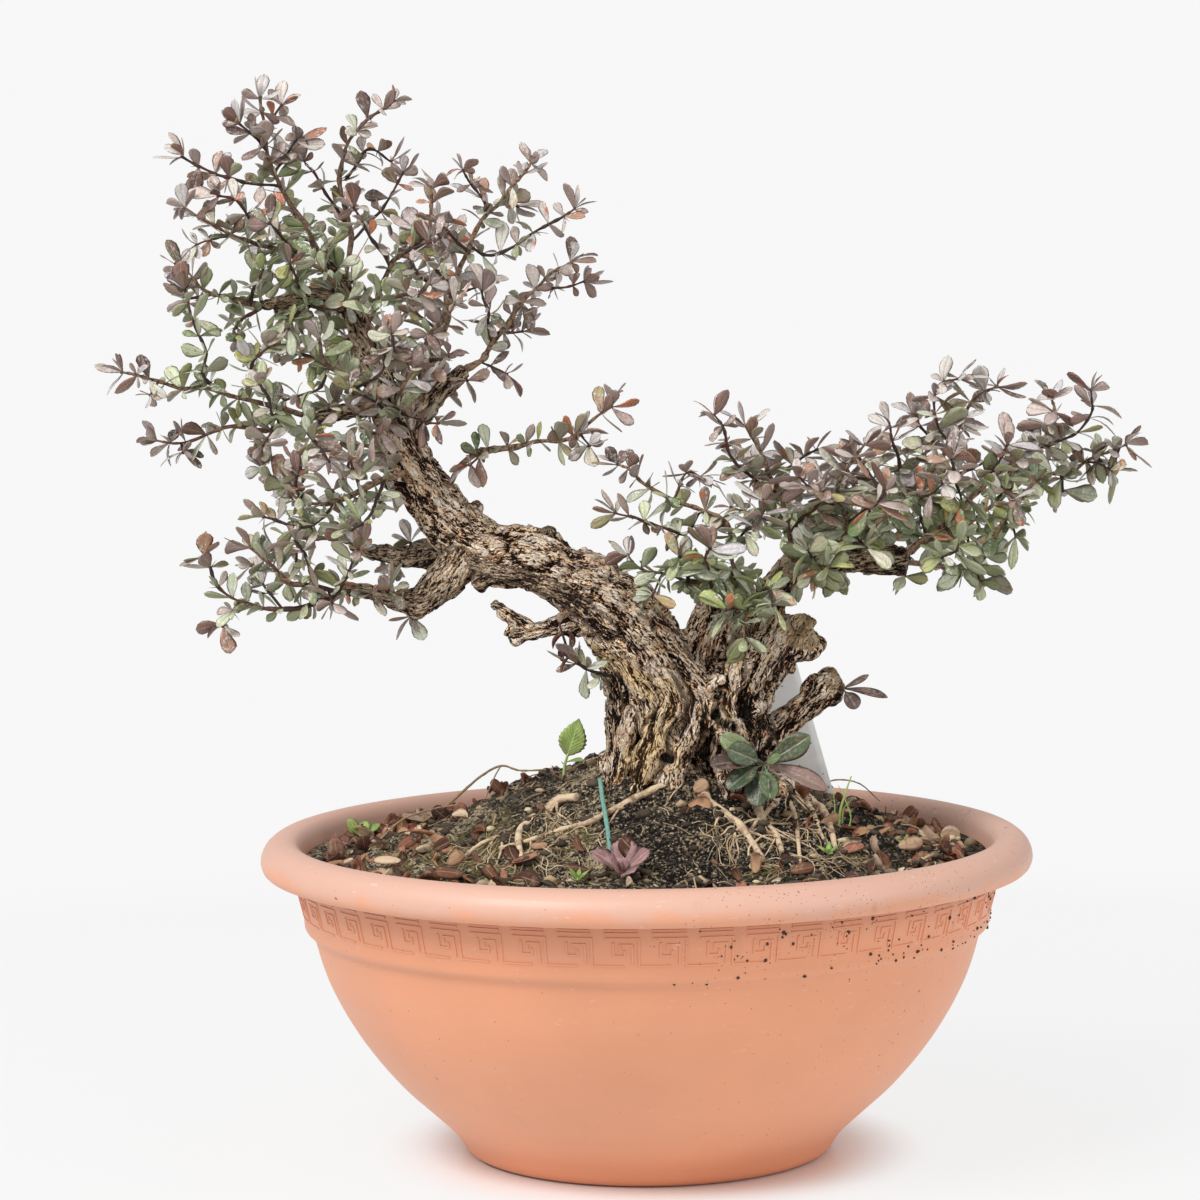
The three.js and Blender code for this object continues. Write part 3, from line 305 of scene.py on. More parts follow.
        [1.5, 0.9, 2, [158, -40, 355], [156, -44, 362]],
        [1.5, 0.9, [155, -17, 327], [160, -40, 315], [151, -48, 310]],
        [1.3, 0.9, 3, [189, -34, 339]]],
    "pad_arch": [
        [3, 0.8, [135, 0, 304], [155, 16, 301], [174, 14, 302], [184, 8, 322], [198, 4, 341],
            [211, 2, 350], [228, 0, 356], [239, 0, 360], [251, 0, 364]],
        [1.3, 0.8, 2, [176, 10, 293]],
        [1.3, 0.8, [188, 7, 327], [193, 2, 316]],
        [1.1, 0.8, 6, [241, -6, 352]],
        [1.1, 0.8, [215, 2, 351], [218, 8, 341]]],
    "pad_back": [
        [3.2, 1, [118, 2, 309], [125, 40, 322], [138, 62, 343], [156, 76, 361], [175, 82, 376]],
        [1.7, 0.9, 1, [114, 62, 339], [109, 72, 353]],
        [1.6, 0.9, 2, [163, 76, 343], [184, 84, 352]],
        [1.4, 0.9, 3, [146, 84, 378]]],
    "pad_back_right": [
        [3, 1, [134, 4, 307], [151, 34, 314], [172, 52, 321], [196, 62, 337], [217, 66, 353]],
        [1.6, 0.9, 1, [148, 58, 328], [146, 66, 337]],
        [1.5, 0.9, 2, [175, 66, 305], [169, 72, 294]],
        [1.3, 0.9, 3, [199, 72, 356]]],
    "pad_back_left": [
        [3, 0.9, [82, 14, 303], [84, 44, 316], [79, 62, 334], [69, 72, 346], [55, 78, 354]],
        [1.6, 0.9, 1, [101, 62, 325], [107, 70, 335]],
        [1.5, 0.9, [82, 54, 325], [63, 70, 325], [49, 78, 330]]],
    "trunk_sprout": [
        [1.6, 0.8, [-12, -14, 247], [-20, -20, 251], [-29, -24, 255], [-36, -26, 259]]],
}

# Sinews of wood that stand out along the trunk
SINEWS = [
    [[-17, -14, 286, 4.6], [3, -21, 256, 6.2], [13, -23, 237, 6.6], [7, -25, 225, 6.2], [1, -27, 211, 6.4],
        [-4, -29, 194, 5.6], [-9, -34, 180, 6.0]],
    [[-7, -22, 232, 3.6], [-11, -24, 215, 4.8], [-15, -26, 200, 5.0], [-21, -31, 182, 5.2]],
    [[-25, -8, 265, 4.6], [-15, -14, 251, 5.4], [-13, -16, 230, 5.6], [-14, -15, 215, 5.6],
        [-17, -14, 194, 5.0], [-21, -18, 180, 5.2]],
    [[-34, -12, 301, 4.6], [-14, -14, 292, 5.8], [5, -18, 276, 6.2], [18, -19, 259, 6.0], [30, -20, 241, 5.6],
        [31, -24, 226, 4.6]],
    [[29, -22, 234, 4.4], [23, -25, 217, 5.4], [15, -28, 200, 4.6], [12, -33, 182, 5.0]],
    [[47, -20, 252, 5.0], [44, -23, 234, 4.6], [49, -22, 219, 5.0], [42, -25, 206, 4.6], [44, -29, 186, 5.6]],
    [[62, -12, 248, 5.6], [57, -13, 236, 5.0], [61, -11, 219, 4.8], [57, -15, 202, 5.4], [62, -20, 184, 5.8]],
    [[-19, 11, 270, 5.5], [-7, 18, 250, 6.4], [-5, 22, 225, 7.2], [-10, 27, 182, 7.4]],
    [[11, 18, 257, 6.4], [16, 23, 234, 7.2], [15, 26, 210, 7.0], [19, 31, 180, 6.6]],
    [[44, 17, 246, 6.4], [49, 23, 225, 7.2], [51, 24, 205, 7.2], [57, 27, 180, 6.6]],
    [[-98, -9, 314, 3.7], [-78, -12, 305, 4.6], [-58, -16, 300, 4.6], [-34, -20, 289, 5.0],
        [-18, -22, 274, 5.2]],
    [[-92, 8, 322, 4.1], [-70, 12, 316, 4.6], [-45, 10, 306, 5.1], [-22, 11, 292, 5.5], [-4, 15, 276, 5.5]],
]

# Burls and broken ends: centre and radius
BURLS = [[80, -15, 271, 9.5], [73, -12, 266, 10], [85, -12, 264, 7], [78, -19, 262, 6], [95, -6, 242, 8.2],
    [90, -7, 239, 8.4], [97, -3, 236, 5.5], [66, -15, 250, 4.6], [73, -16, 253, 3.2], [48, -22, 252, 6.5],
    [36, -25, 246, 5.2], [52, -21, 228, 6.2], [40, -26, 222, 4.8],
    [60, -18, 196, 6.2], [68, -8, 214, 5.4], [66, -14, 190, 6.4],
    [-76, -8, 286, 3.0], [-66, -9, 268, 3.6], [-70, -9, 272, 2.4], [-84, -13, 297, 4.6],
    [-50, -4, 321, 5.4], [-56, -6, 324, 3.6], [-28, -8, 311, 4.0], [-88, 2, 335, 4.4], [-117, -12, 286, 6.5],
    [-124, -14, 291, 4.8], [-105, -8, 300, 8.4], [-128, -4, 352, 6.0], [-112, -6, 344, 6.5],
        [-5, -14, 243, 5.5],
    [-20, -12, 205, 4.4], [8, -27, 196, 4.6], [-3, 26, 205, 7.0], [36, 28, 214, 7.5], [62, 18, 212, 6.0],
    [28, 24, 238, 6.5], [-30, 14, 284, 5.0], [96, 2, 312, 6.0], [120, -6, 304, 5.2], [70, 22, 276, 5.0],
    [-14, -8, 232, 6.0], [-14, -6, 208, 6.4], [-16, -10, 190, 7.0], [-12, -18, 222, 4.6]]

# Dried leaves that hang under the left stub: foot, reach, width, roll and colour
HANGING_LEAVES = [[-40, -25, 268, -4, -4, -8, 7, 0.3, 0.02], [-42, -24, 272, -7, -3, -5, 6, 0.8, 0.24],
    [-39, -25, 274, 3, -5, -7, 6, -0.5, 0.12], [-43, -23, 278, 1, -4, 7, 5, 0.2, 0.9],
    [-37, -26, 262, -8, -4, -6, 6, 0.4, 0.3]]

HANGING_STALK = [[-33, -25, 257], [-39, -25, 264], [-42, -24, 272], [-44, -18, 279]]

# Where short tufts sit straight on the limbs: limb, first and last share of its length and how many
SPURS = [["trunk", 0.66, 0.97, 16], ["fork_limb", 0.3, 0.95, 5], ["left_limb", 0.3, 1, 5],
    ["back_limb", 0.4, 1, 5],
    ["upper_left_limb", 0.1, 1, 8], ["low_limb", 0.45, 1, 6], ["pad_limb", 0.55, 1, 7]]

# Knot holes and sawn scars: centre and radius
KNOTS = [[11, -29.5, 208.5, 5.4], [20, 30, 220, 6], [-10, 26, 262, 5], [30, 26, 246, 6], [36, -25, 230, 5]]

# Sawn ends that show pale wood: end of the cut limb, the way it faces and its radius
SAWN_ENDS = [[[95, -6, 241], [12, -1, 9], 7.5], [[78, -15, 274], [7, -8, 5], 11], [[-63, -8, 271],
    [-13, -2, -3], 4.5]]

BASAL_BUD = [[47, -13, 197], [56, -36, 203], [60, -44, 207]]
STUB_BUD = [[92, -6, 240], [99, -8, 241], [102, -9, 241]]

# Share of green and luck of each leaf of the foot's sprout, in the order of its leaves
BASAL_TONES = [[0.8, 0.2], [0, 0.02], [0.62, 0.03], [0.95, 0.0], [1, 0.14], [0.55, 0.04], [0, 0.17],
    [0.62, 0.0], [0.9, 0.06]]
BASAL_LEAVES = [[-22, -6, 15, 9], [-27, -10, 5, 10], [-17, -14, 9, 10], [-20, -12, -8, 11], [7, -9, 5, 6],
    [23, -8, 14, 15], [33, -10, -8, 14], [-6, -14, -19, 12], [3, -18, -14, 9]]
STUB_LEAVES = [[24, -4, -2, 7], [14, -3, 7, 4], [8, -6, -9, 8]]

# Small weeds: place, number of leaves, leaf length, leaf width, rise of the leaves in degrees
WEEDS = {
    "weed_left": [[-150, 40], 6, 13, 7.5, 38],
    "weed_star": [[-35, -106], 6, 9, 2.6, 40],
    "weed_purple": [[-13, -100], 5, 21, 15, 42],
    "weed_round": [[-76, -104], 4, 8, 5.5, 32],
    "weed_right": [[91, -66], 5, 8, 3, 40],
    "weed_far_right": [[133, -30], 5, 8, 3.4, 36],
}

# Centre line of the tie wire
WIRE_PATH = [[-22, -24, 188], [-23.5, -30, 197.5], [-22.5, -44, 190], [-20.5, -60, 179.5],
    [-19, -76, 168.5], [-18.5, -83, 160]]

# The key pattern of one unit, across and down from its upper left corner, in shares of the unit
KEY_LINES = [
    [[0.02, 0.03], [0.72, 0.03]],
    [[0.02, 0.11], [0.72, 0.11]],
    [[0.03, 0.25], [0.74, 0.25], [0.74, 1.0], [1.42, 1.0]],
    [[0.60, 0.95], [0.60, 0.42], [0.34, 0.42], [0.34, 0.58]],
    [[0.20, 0.36], [0.20, 0.72], [0.44, 0.72], [0.44, 0.57]],
]

# Ribs of golden wood low on the trunk's front
GOLDEN_RIBS = [[[1, -27, 228], [-4, -30, 214], [-9, -32, 204], [-16, -35, 190]],
    [[12, -28, 244], [8, -29, 226], [3, -31, 212], [-4, -35, 190]], [[-24, -18, 262], [-8, -24, 252],
        [6, -27, 240]]]

# Patches of moss: place and reach
MOSS_PATCHES = [[-96, -52, 34], [-70, -72, 26], [-118, -30, 24], [60, -98, 12], [112, -70, 14],
    [-128, -60, 20], [-30, 112, 40], [80, 100, 30], [-100, 92, 26], [-40, -60, 14]]

# Dead stems that arch over the compost: first and last radius, then points
ARCHED_STEMS = [
    [0.75, 0.5, [-118, 44, 166], [-104, 40, 176], [-88, 38, 190], [-76, 34, 197], [-66, 30, 195],
        [-52, 24, 196]],
    [0.45, 0.3, [-76, 34, 197], [-80, 30, 190], [-84, 24, 181]],
    [0.6, 0.4, [-140, 20, 160], [-128, 26, 170], [-112, 30, 175], [-98, 24, 178]],
    [0.5, 0.35, [138, 10, 160], [126, -6, 168], [118, -18, 170], [112, -34, 168]],
    [0.5, 0.3, [88, 70, 172], [100, 84, 180], [116, 92, 178], [128, 90, 168]],
]

# Leaves that lie in view on the mound: foot, reach, width, turn away from the front and colour
CHOSEN_LEAVES = [
    [20, -44, 184.5, 12, -5, 4, 11, 0.1, 0.69], [17, -50, 177, 4, -5, 9, 8, 0.5, 0.02],
    [24, -34, 192, 7, -3, 5, 8, 0.4, 0.74], [-4, -92, 165, -8, -3, 13, 12, 0.2, 0.12],
    [-28, -96, 161, -13, -2, 5, 9, 0.5, 0.16], [-124, -70, 163, -14, 5, 3, 9, 0.4, 0.82],
    [-92, -96, 160, -13, -4, 4, 9, 0.2, 0.3], [-100, -84, 163, 9, 8, 6, 7, 0.5, 0.72],
    [128, -40, 163, 14, 4, 3, 8, 0.3, 0.75], [70, -98, 160, 12, -2, 3, 7, 0.4, 0.3],
]

# A crumb: the ends of its three axes and its eight corners, joined by triangles
CRUMB_CORNERS = [[1, 0, 0], [0, 1, 0], [-1, 0, 0], [0, -1, 0], [0, 0, 1], [0, 0, -1], [1, 1, 1], [-1, 1, 1],
    [-1, -1, 1], [1, -1, 1], [1, 1, -1], [-1, 1, -1], [-1, -1, -1], [1, -1, -1]]
CRUMB_FACES = [[4, 6, 7], [4, 7, 8], [4, 8, 9], [4, 9, 6], [5, 11, 10], [5, 12, 11], [5, 13, 12],
    [5, 10, 13], [0, 10, 6], [0, 6, 9], [0, 9, 13], [0, 13, 10], [1, 11, 7], [1, 7, 6], [1, 6, 10],
    [1, 10, 11], [2, 12, 8], [2, 8, 7], [2, 7, 11], [2, 11, 12], [3, 13, 9], [3, 9, 8], [3, 8, 12],
    [3, 12, 13]]

# Sprays that are mostly purple
PURPLE_SPRAYS = ["crown_tip", "crown_high_twig", "right_high", "crown_left", "left_branch", "pad_top",
    "pad_right", "right_mid", "pad_up_left", "back_top", "pad_back"]


def paint(code):
    """Linear red, green and blue of a six-digit screen colour."""
    shares = np.array([int(code[i:i + 2], 16) for i in (0, 2, 4)]) / 255
    linear = np.where(shares < 0.04045, shares / 12.92, ((shares + 0.055) / 1.055) ** 2.4)
    return tuple(float(s) for s in linear)


def tinted(shade, by, plus=0.0):
    """A colour made darker or brighter, kept at one or less."""
    return tuple(min(c * by + plus, 1) for c in shade)


def colour(name, description, code):
    """Setting for a colour."""
    return bpy.props.FloatVectorProperty(name=name, description=description, default=paint(code),
        subtype="COLOR", size=3, min=0, max=1)


def size(name, description, default, low, high):
    """Setting for a length in metres."""
    return bpy.props.FloatProperty(name=name, description=description, default=default, min=low, max=high,
        unit="LENGTH", precision=4)


def level(name, description, default, low, high, unit="NONE"):
    """Setting for a strength."""
    return bpy.props.FloatProperty(name=name, description=description, default=default, min=low, max=high,
        unit=unit)


def share(name, description, default):
    """Setting for a share from none to all."""
    return bpy.props.FloatProperty(name=name, description=description, default=default, min=0, max=1,
        subtype="FACTOR")


def count(name, description, default, high):
    """Setting for a whole number."""
    return bpy.props.IntProperty(name=name, description=description, default=default, min=0, max=high)


class BonsaiBowl(bpy.types.PropertyGroup):
    """Bowl: colours and key pattern"""

    terracotta: colour("Terracotta", "Colour of the bowl's wall", "E49C76")
    rim_bloom: colour("Rim bloom", "Paler bloom on the lip and the collar", "D4AA98")
    key_units: count("Key units", "Repeats of the key pattern round the collar", 50, 120)
    key_top: size("Key band top", "Height of the key band's upper edge", BOWL_TOP - 0.0205, 0.1, 0.2)
    key_height: size("Key band height", "Height of the key pattern", 0.0185, 0.005, 0.05)
    key_line: size("Key line width", "Width of a raised line", 0.0015, 0.0002, 0.004)
    soil_specks: share("Soil specks", "How much soil has splashed on the wall", 0.35)


class BonsaiWood(bpy.types.PropertyGroup):
    """Bark and bare roots"""

    bark_light: colour("Bark ridges", "Colour of the worn ridges", "EDC096")
    bark_middle: colour("Bark", "Colour of the bark between ridge and furrow", "AA7750")
    bark_dark: colour("Bark furrows", "Colour of the deep furrows", "1C120D")
    skin_size: size("Skin size", "Length of one face of the bark", 0.00116, 0.0008, 0.005)
    furrow_depth: size("Furrow depth", "Depth of the deepest furrows", 0.004, 0.0, 0.01)
    root_colour: colour("Bare roots", "Colour of the thin roots on the mound", "D8C0A0")


class BonsaiFoliage(bpy.types.PropertyGroup):
    """Leaves, twigs and spines"""

    purple: colour("Purple leaf", "Colour of the young outer leaves", "D2BEB4")
    green: colour("Green leaf", "Colour of the shaded leaves", "CAD2A2")
    turned: colour("Turned leaf", "Colour of the few leaves that turn", "C8744C")
    # The dust colour also paints a pale sheen on the leaves.
    dust: colour("Dust", "Dried water marks on the leaves", "EAE6DE")
    twig: colour("Twig", "Colour of the thin twigs", "3A2B28")
    station_gap: size("Tuft gap", "Distance between the tufts of leaves", 0.009, 0.004, 0.03)
    leaf_length: size("Leaf length", "Length of the longest leaves", 0.0165, 0.005, 0.03)
    spine_length: size("Spine length", "Length of a spine", 0.0068, 0.001, 0.015)
    seed: count("Seed", "Another number grows other leaves between those of the frame", 7, 1000)


class BonsaiSoil(bpy.types.PropertyGroup):
    """Compost, moss and litter"""

    compost: colour("Compost", "Colour of the damp compost", "5C5044")
    dry_crumb: colour("Dry crumbs", "Colour of the drier crumbs", "9B866A")
    moss: colour("Moss", "Colour of the moss patches", "7B7043")
    leaf_brown: colour("Fallen leaf", "Colour of the fallen leaves", "84583F")
    leaf_tan: colour("Pale fallen leaf", "Colour of the bleached fallen leaves", "C4A283")
    crumbs: count("Crumbs", "Loose crumbs on the compost", 2700, 6000)
    fallen: count("Fallen leaves", "Dead leaves lying on the compost", 560, 1000)
    sticks: count("Sticks", "Bits of stem lying on the compost", 240, 1000)


class BonsaiExtras(bpy.types.PropertyGroup):
    """Weeds, label and wire"""

    weed: colour("Weed", "Colour of the green weeds", "90A858")
    weed_purple: colour("Purple weed", "Colour of the purple weed", "A07A78")
    label: colour("Label", "Colour of the blank plant label", "FAF9F5")
    wire: colour("Wire coat", "Colour of the coated tie wire", "6FA093")
    wire_size: size("Wire size", "Thickness of the tie wire", 0.0023, 0.0005, 0.006)


class BonsaiStage(bpy.types.PropertyGroup):
    """Floor, light and camera"""

    floor: colour("Floor", "Colour of the floor", "F2F2F2")
    daylight: level("Daylight", "Strength of the even light all round", 0.58, 0, 10)
    backdrop: level("Backdrop", "Brightness of the plain pale backdrop", 0.935, 0, 2)
    key_light: level("Key light", "Power of the large soft light", 78, 0, 1000, "POWER")
    lens: level("Lens", "Focal length of the camera", 120, 10, 500, "CAMERA")


def unit(vectors):
    """Vectors brought to length one."""
    return vectors / np.maximum(np.linalg.norm(vectors, axis=-1, keepdims=True), 1e-9)


def smooth(low, high, value):
    """3t² - 2t³ of the share of the way from low to high."""
    t = np.clip((value - low) / (high - low), 0, 1)
    return t * t * (3 - 2 * t)


def chance(a, b, c):
    """Steady random share from three numbers: the fraction of a large sine."""
    value = np.sin(a * 12.9898 + b * 78.233 + c * 37.719) * 43758.5453
    return value - np.floor(value)


def noise(points, grain, seed=0):
    """Value noise from -1 to 1: hashed heights on a lattice of the grain's size, blended by 3t² - 2t³."""
    points = np.asarray(points, float) / grain
    cell = np.floor(points).astype(np.int64)
    t = points - cell
    t = t * t * (3 - 2 * t)
    total = np.zeros(points.shape[:-1])
    for corner in np.ndindex(2, 2, 2):
        c = cell + corner
        n = (c[..., 0] * 73856093) ^ (c[..., 1] * 19349663) ^ (c[..., 2] * 83492791) ^ (seed * 2654435761)
        n = ((n & 0x7FFFFFFF) ^ ((n & 0x7FFFFFFF) >> 15)) * 2246822519 & 0x7FFFFFFF
        n = (n ^ (n >> 13)) * 3266489917 & 0x7FFFFFFF
        height = ((n ^ (n >> 16)) & 0xFFFF) / 32767.5 - 1
        total += height * np.where(corner, t, 1 - t).prod(-1)
    return total


def curve_through(points, steps):
    """Points and unit tangents at even shares of a uniform Catmull-Rom curve, its ends reflected."""
    p = np.asarray(points, float)
    p = np.vstack([2 * p[0] - p[1], p, 2 * p[-1] - p[-2]])
    way = np.linspace(0, len(points) - 1, steps + 1)
    span = np.minimum(way.astype(int), len(points) - 2)
    t = (way - span)[:, None]
    a, b, c, d = p[span], p[span + 1], p[span + 2], p[span + 3]
    bend = 2 * a - 5 * b + 4 * c - d
    twist = 3 * b - a - 3 * c + d
    place = 0.5 * (2 * b + (c - a) * t + bend * t ** 2 + twist * t ** 3)
    return place, unit(c - a + 2 * bend * t + 3 * twist * t ** 2)


def between(values, way):
    """Evenly spaced values read at shares of the way, straight from one to the next."""
    return np.interp(way, np.linspace(0, 1, len(values)), values)


def walked(place):
    """Distance along a path at each of its points."""
    return np.concatenate([[0], np.cumsum(np.linalg.norm(np.diff(place, axis=0), axis=1))])


def frames_along(points, steps):
    """Point, tangent and the two directions across a curve, carried along it without twisting."""
    place, tangent = curve_through(points, steps)
    across = np.array([1.0, 0, 0]) if abs(tangent[0][2]) > 0.9 else np.array([0, 0, 1.0])
    sides = []
    for t in tangent:
        across = unit(across - t * (across @ t))
        sides.append(across)
    side = np.array(sides)
    return place, tangent, side, np.cross(tangent, side)


def closed_rings(rings, first, last):
    """Closed skin over rings of points with a pole at each end; (i, j) joins (i, j + 1) and (i + 1, j)."""
    many, around = rings.shape[:2]
    points = np.vstack([rings.reshape(-1, 3), first, last])
    i = np.arange(many - 1)[:, None] * around
    j = np.arange(around)
    k = (j + 1) % around
    walls = np.stack([i + j, i + k, i + k + around, i + j + around], -1).reshape(-1, 4)
    top = (many - 1) * around
    low = np.stack([np.full(around, many * around), k, j], -1)
    high = np.stack([np.full(around, many * around + 1), top + j, top + k], -1)
    return points, [walls, low, high]


def bar(path, radii, around, steps, rough=0.0, seed=0):
    """Closed round bar: p(s) + r(s)(1 + rough noise)(cos a side + sin a other), with domed ends."""
    place, tangent, side, other = frames_along(path, steps)
    angle = np.linspace(0, 2 * np.pi, around, endpoint=False)[:, None]
    reach = between(radii, np.linspace(0, 1, steps + 1))
    out = np.cos(angle) * side[:, None] + np.sin(angle) * other[:, None]
    rings = place[:, None] + out * reach[:, None, None]
    if rough:
        lump = 1 + rough * noise(rings, max(reach.mean() * 1.6, 0.8), seed)
        rings = place[:, None] + out * (reach[:, None] * lump)[..., None]
    first = place[0] - tangent[0] * reach[0] * 0.35
    last = place[-1] + tangent[-1] * reach[-1] * 0.35
    return closed_rings(rings, first, last)


def drift(points, grain, seed):
    """Smooth noise in three directions."""
    return np.stack([noise(points, grain, seed + k) for k in range(3)], -1)


def grid_faces(number):
    """Faces of a grid of numbered points: (i, j), (i + 1, j), (i + 1, j + 1), (i, j + 1)."""
    corners = [number[:-1, :-1], number[1:, :-1], number[1:, 1:], number[:-1, 1:]]
    return np.stack(corners, -1).reshape(-1, 4)


def pointing(heading, rise):
    """Directions of length one: (cos h cos r, sin h cos r, sin r)."""
    return np.stack([np.cos(heading) * np.cos(rise), np.sin(heading) * np.cos(rise), np.sin(rise)], -1)


def along(limb):
    """Centre line of a limb and its radii."""
    return [p[:3] for p in limb], [p[3] for p in limb]


def repeated(faces, many, corners):
    """The faces of one shape for many like it, one after another."""
    return (np.array(faces)[None] + (np.arange(many) * corners)[:, None, None]).reshape(-1, 3)


class Piece:
    """Shapes gathered into one mesh, with a finish number for each face and named values for each point."""

    def __init__(self):
        self.points = []
        self.faces = []
        self.finishes = []
        self.values = []
        self.size = 0

    def add(self, points, faces, finish=0, **values):
        """Adds a shape: its points in millimetres, blocks of faces and values for its points."""
        points = np.asarray(points, float).reshape(-1, 3)
        for block in faces:
            self.faces.append(np.asarray(block) + self.size)
            self.finishes.append(np.full(len(block), finish))
        self.points.append(points)
        self.values.append(values)
        self.size += len(points)

    def sway(self, reach, grain):
        """Pushes every point about by a smooth noise, so that straight runs turn crooked."""
        for k, points in enumerate(self.points):
            self.points[k] = points + reach * drift(points, grain, 91)

    def make(self, name, finishes):
        """The object at the origin, in metres, with its finishes and its values as attributes."""
        mesh = bpy.data.meshes.new(name)
        corners = [row for block in self.faces for row in block.tolist()]
        mesh.from_pydata((np.vstack(self.points) * MM).tolist(), [], corners)
        for finish in finishes:
            mesh.materials.append(finish)
        mesh.polygons.foreach_set("material_index", np.concatenate(self.finishes).astype(np.int32))
        mesh.polygons.foreach_set("use_smooth", np.ones(len(corners), bool))
        keys = sorted({key for values in self.values for key in values})
        for key in keys:
            wide = next(np.ndim(v[key]) for v in self.values if key in v) == 2
            blocks = []
            for points, values in zip(self.points, self.values):
                blank = np.zeros((len(points), 3) if wide else len(points))
                blocks.append(blank + np.asarray(values.get(key, 0.0)))
            kind, field = ("FLOAT_VECTOR", "vector") if wide else ("FLOAT", "value")
            layer = mesh.attributes.new(key, kind, "POINT")
            layer.data.foreach_set(field, np.concatenate(blocks).astype(np.float32).ravel())
        mesh.update()
        made = bpy.data.objects.new(name, mesh)
        bpy.context.scene.collection.objects.link(made)
        return made


def add_spikes(piece, base, tip, **values):
    """Three-sided spikes, closed below: three corners round each foot and a tip."""
    faces = repeated([[0, 1, 3], [1, 2, 3], [2, 0, 3], [0, 2, 1]], len(tip), 4)
    piece.add(np.stack([*base, tip], 1), [faces], **values)


def settle(made):
    """Applies the live modifiers of an object to its mesh."""
    seen = bpy.context.evaluated_depsgraph_get()
    mesh = bpy.data.meshes.new_from_object(made.evaluated_get(seen))
    made.modifiers.clear()
    made.data = mesh
    return made


def put(made, slot, *nodes):
    """Lets a finished piece ride on the tree and stand for its plain nodes; its slot is not used."""
    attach(made, "root")
    if nodes:
        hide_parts(*nodes)
    return made


def blade_frames(reach):
    """Directions of blades, and the level direction across each of them."""
    along = unit(reach)
    up = np.where(np.abs(along[:, 2:]) > 0.92, [[0.0, -1, 0]], [[0.0, 0, 1]])
    return along, unit(np.cross(along, up))


class BladePattern:
    """A thin closed leaf on a grid of u along and v across; half(u) is its half width, 1 where broadest."""

    def __init__(self, rows, columns, half):
        u = np.asarray(rows, float)
        v = np.linspace(-1, 1, columns)
        many = len(u)
        top = np.arange(many * columns).reshape(many, columns)
        under = top.copy()
        under[:, 1:-1] = many * columns + np.arange(many * (columns - 2)).reshape(many, columns - 2)
        foot = many * columns + many * (columns - 2)
        grid_u, grid_v = np.meshgrid(u, v, indexing="ij")
        inner_u, inner_v = np.meshgrid(u, v[1:-1], indexing="ij")
        edge = 1 - np.abs(grid_v) ** 8
        self.u = np.concatenate([grid_u.ravel(), inner_u.ravel(), [0, 1]])
        self.v = np.concatenate([grid_v.ravel(), inner_v.ravel(), [0, 0]])
        self.s = np.concatenate([edge.ravel(), -np.ones(inner_u.size), [0, 0]])
        self.x = self.v * half(self.u)
        quads = []
        for sheet, order in ((top, (0, 3, 2, 1)), (under, (1, 2, 3, 0))):
            quads.append(grid_faces(sheet)[:, order])
        ends = []
        for row, pole, flip in ((0, foot, 1), (many - 1, foot + 1, -1)):
            for sheet, turn in ((top, flip), (under, -flip)):
                a, b = sheet[row, :-1], sheet[row, 1:]
                pair = (b, a) if turn > 0 else (a, b)
                ends.append(np.stack([np.full(columns - 1, pole), *pair], -1))
        self.faces = [np.vstack(quads), np.vstack(ends)]

    def spread(self, foot, reach, width, roll, bend, fold, thick):
        """Many blades at once: x = v w W / 2, y and z on an arc of the given bend, folded up by fold |x|."""
        length = np.linalg.norm(reach, axis=-1)
        along, across = blade_frames(reach)
        turn = np.asarray(roll)[:, None]
        across = across * np.cos(turn) + np.cross(along, across) * np.sin(turn)
        face = np.cross(across, along)
        bend = np.where(np.abs(bend) < 0.01, 0.01, bend)[:, None]
        x = self.x[None] * np.asarray(width)[:, None] / 2
        y = length[:, None] * np.sin(bend * self.u) / bend
        z = -length[:, None] * (1 - np.cos(bend * self.u)) / bend + np.asarray(fold)[:, None] * np.abs(x)
        z = z + self.s[None] * thick / 2
        points = foot[:, None] + x[..., None] * across[:, None] + y[..., None] * along[:, None]
        points = points + z[..., None] * face[:, None]
        start = np.arange(len(foot))[:, None, None] * len(self.u)
        faces = [(block[None] + start).reshape(-1, block.shape[1]) for block in self.faces]
        place = np.tile(np.stack([self.u, self.v, self.s], -1), (len(foot), 1))
        return points.reshape(-1, 3), faces, place

    def repeat(self, values):
        """A value for each blade given to all of its points."""
        return np.repeat(np.asarray(values, float), len(self.u), axis=0)


def facing(reach, front):
    """Roll that turns a blade's face as near as it goes to front: atan2(front . across, front . face)."""
    along, across = blade_frames(reach)
    return np.arctan2(across @ front, np.cross(across, along) @ front)


def obovate(u):
    """Half width of a barberry leaf: a narrow foot, broadest past two thirds, a round tip."""
    return 1.92 * u ** 1.15 * (1 - np.minimum(u, 0.999) ** 2.6) ** 0.78 + 0.05 * (1 - u)


def stalked(u):
    """Half width of a round leaf on a thin stalk: a stalk for a quarter of the length, then a full oval."""
    t = np.clip((u - 0.26) / 0.74, 0, 1)
    return np.maximum(2.2 * np.sqrt(np.maximum(t * (1 - t), 0)) * (0.85 + 0.3 * t), 0.09)


def oval(u):
    """Half width of an oval leaf: 2 sqrt(u(1 - u)), a little fuller beyond the middle."""
    return 2 * np.sqrt(np.maximum(u * (1 - u), 0)) * (0.8 + 0.3 * u) / 0.97


def strap(u):
    """Half width of a narrow leaf that tapers from foot to tip."""
    return np.sin(np.pi * np.clip(0.12 + 0.88 * u, 0, 1) ** 0.8)


def toothed(u):
    """Half width of the seedling's leaf: a full oval with small teeth pointing to the tip."""
    tooth = (u * 9) % 1
    return np.sin(np.pi * np.clip(u, 0.02, 0.985) ** 0.8) * (0.88 + 0.14 * tooth)


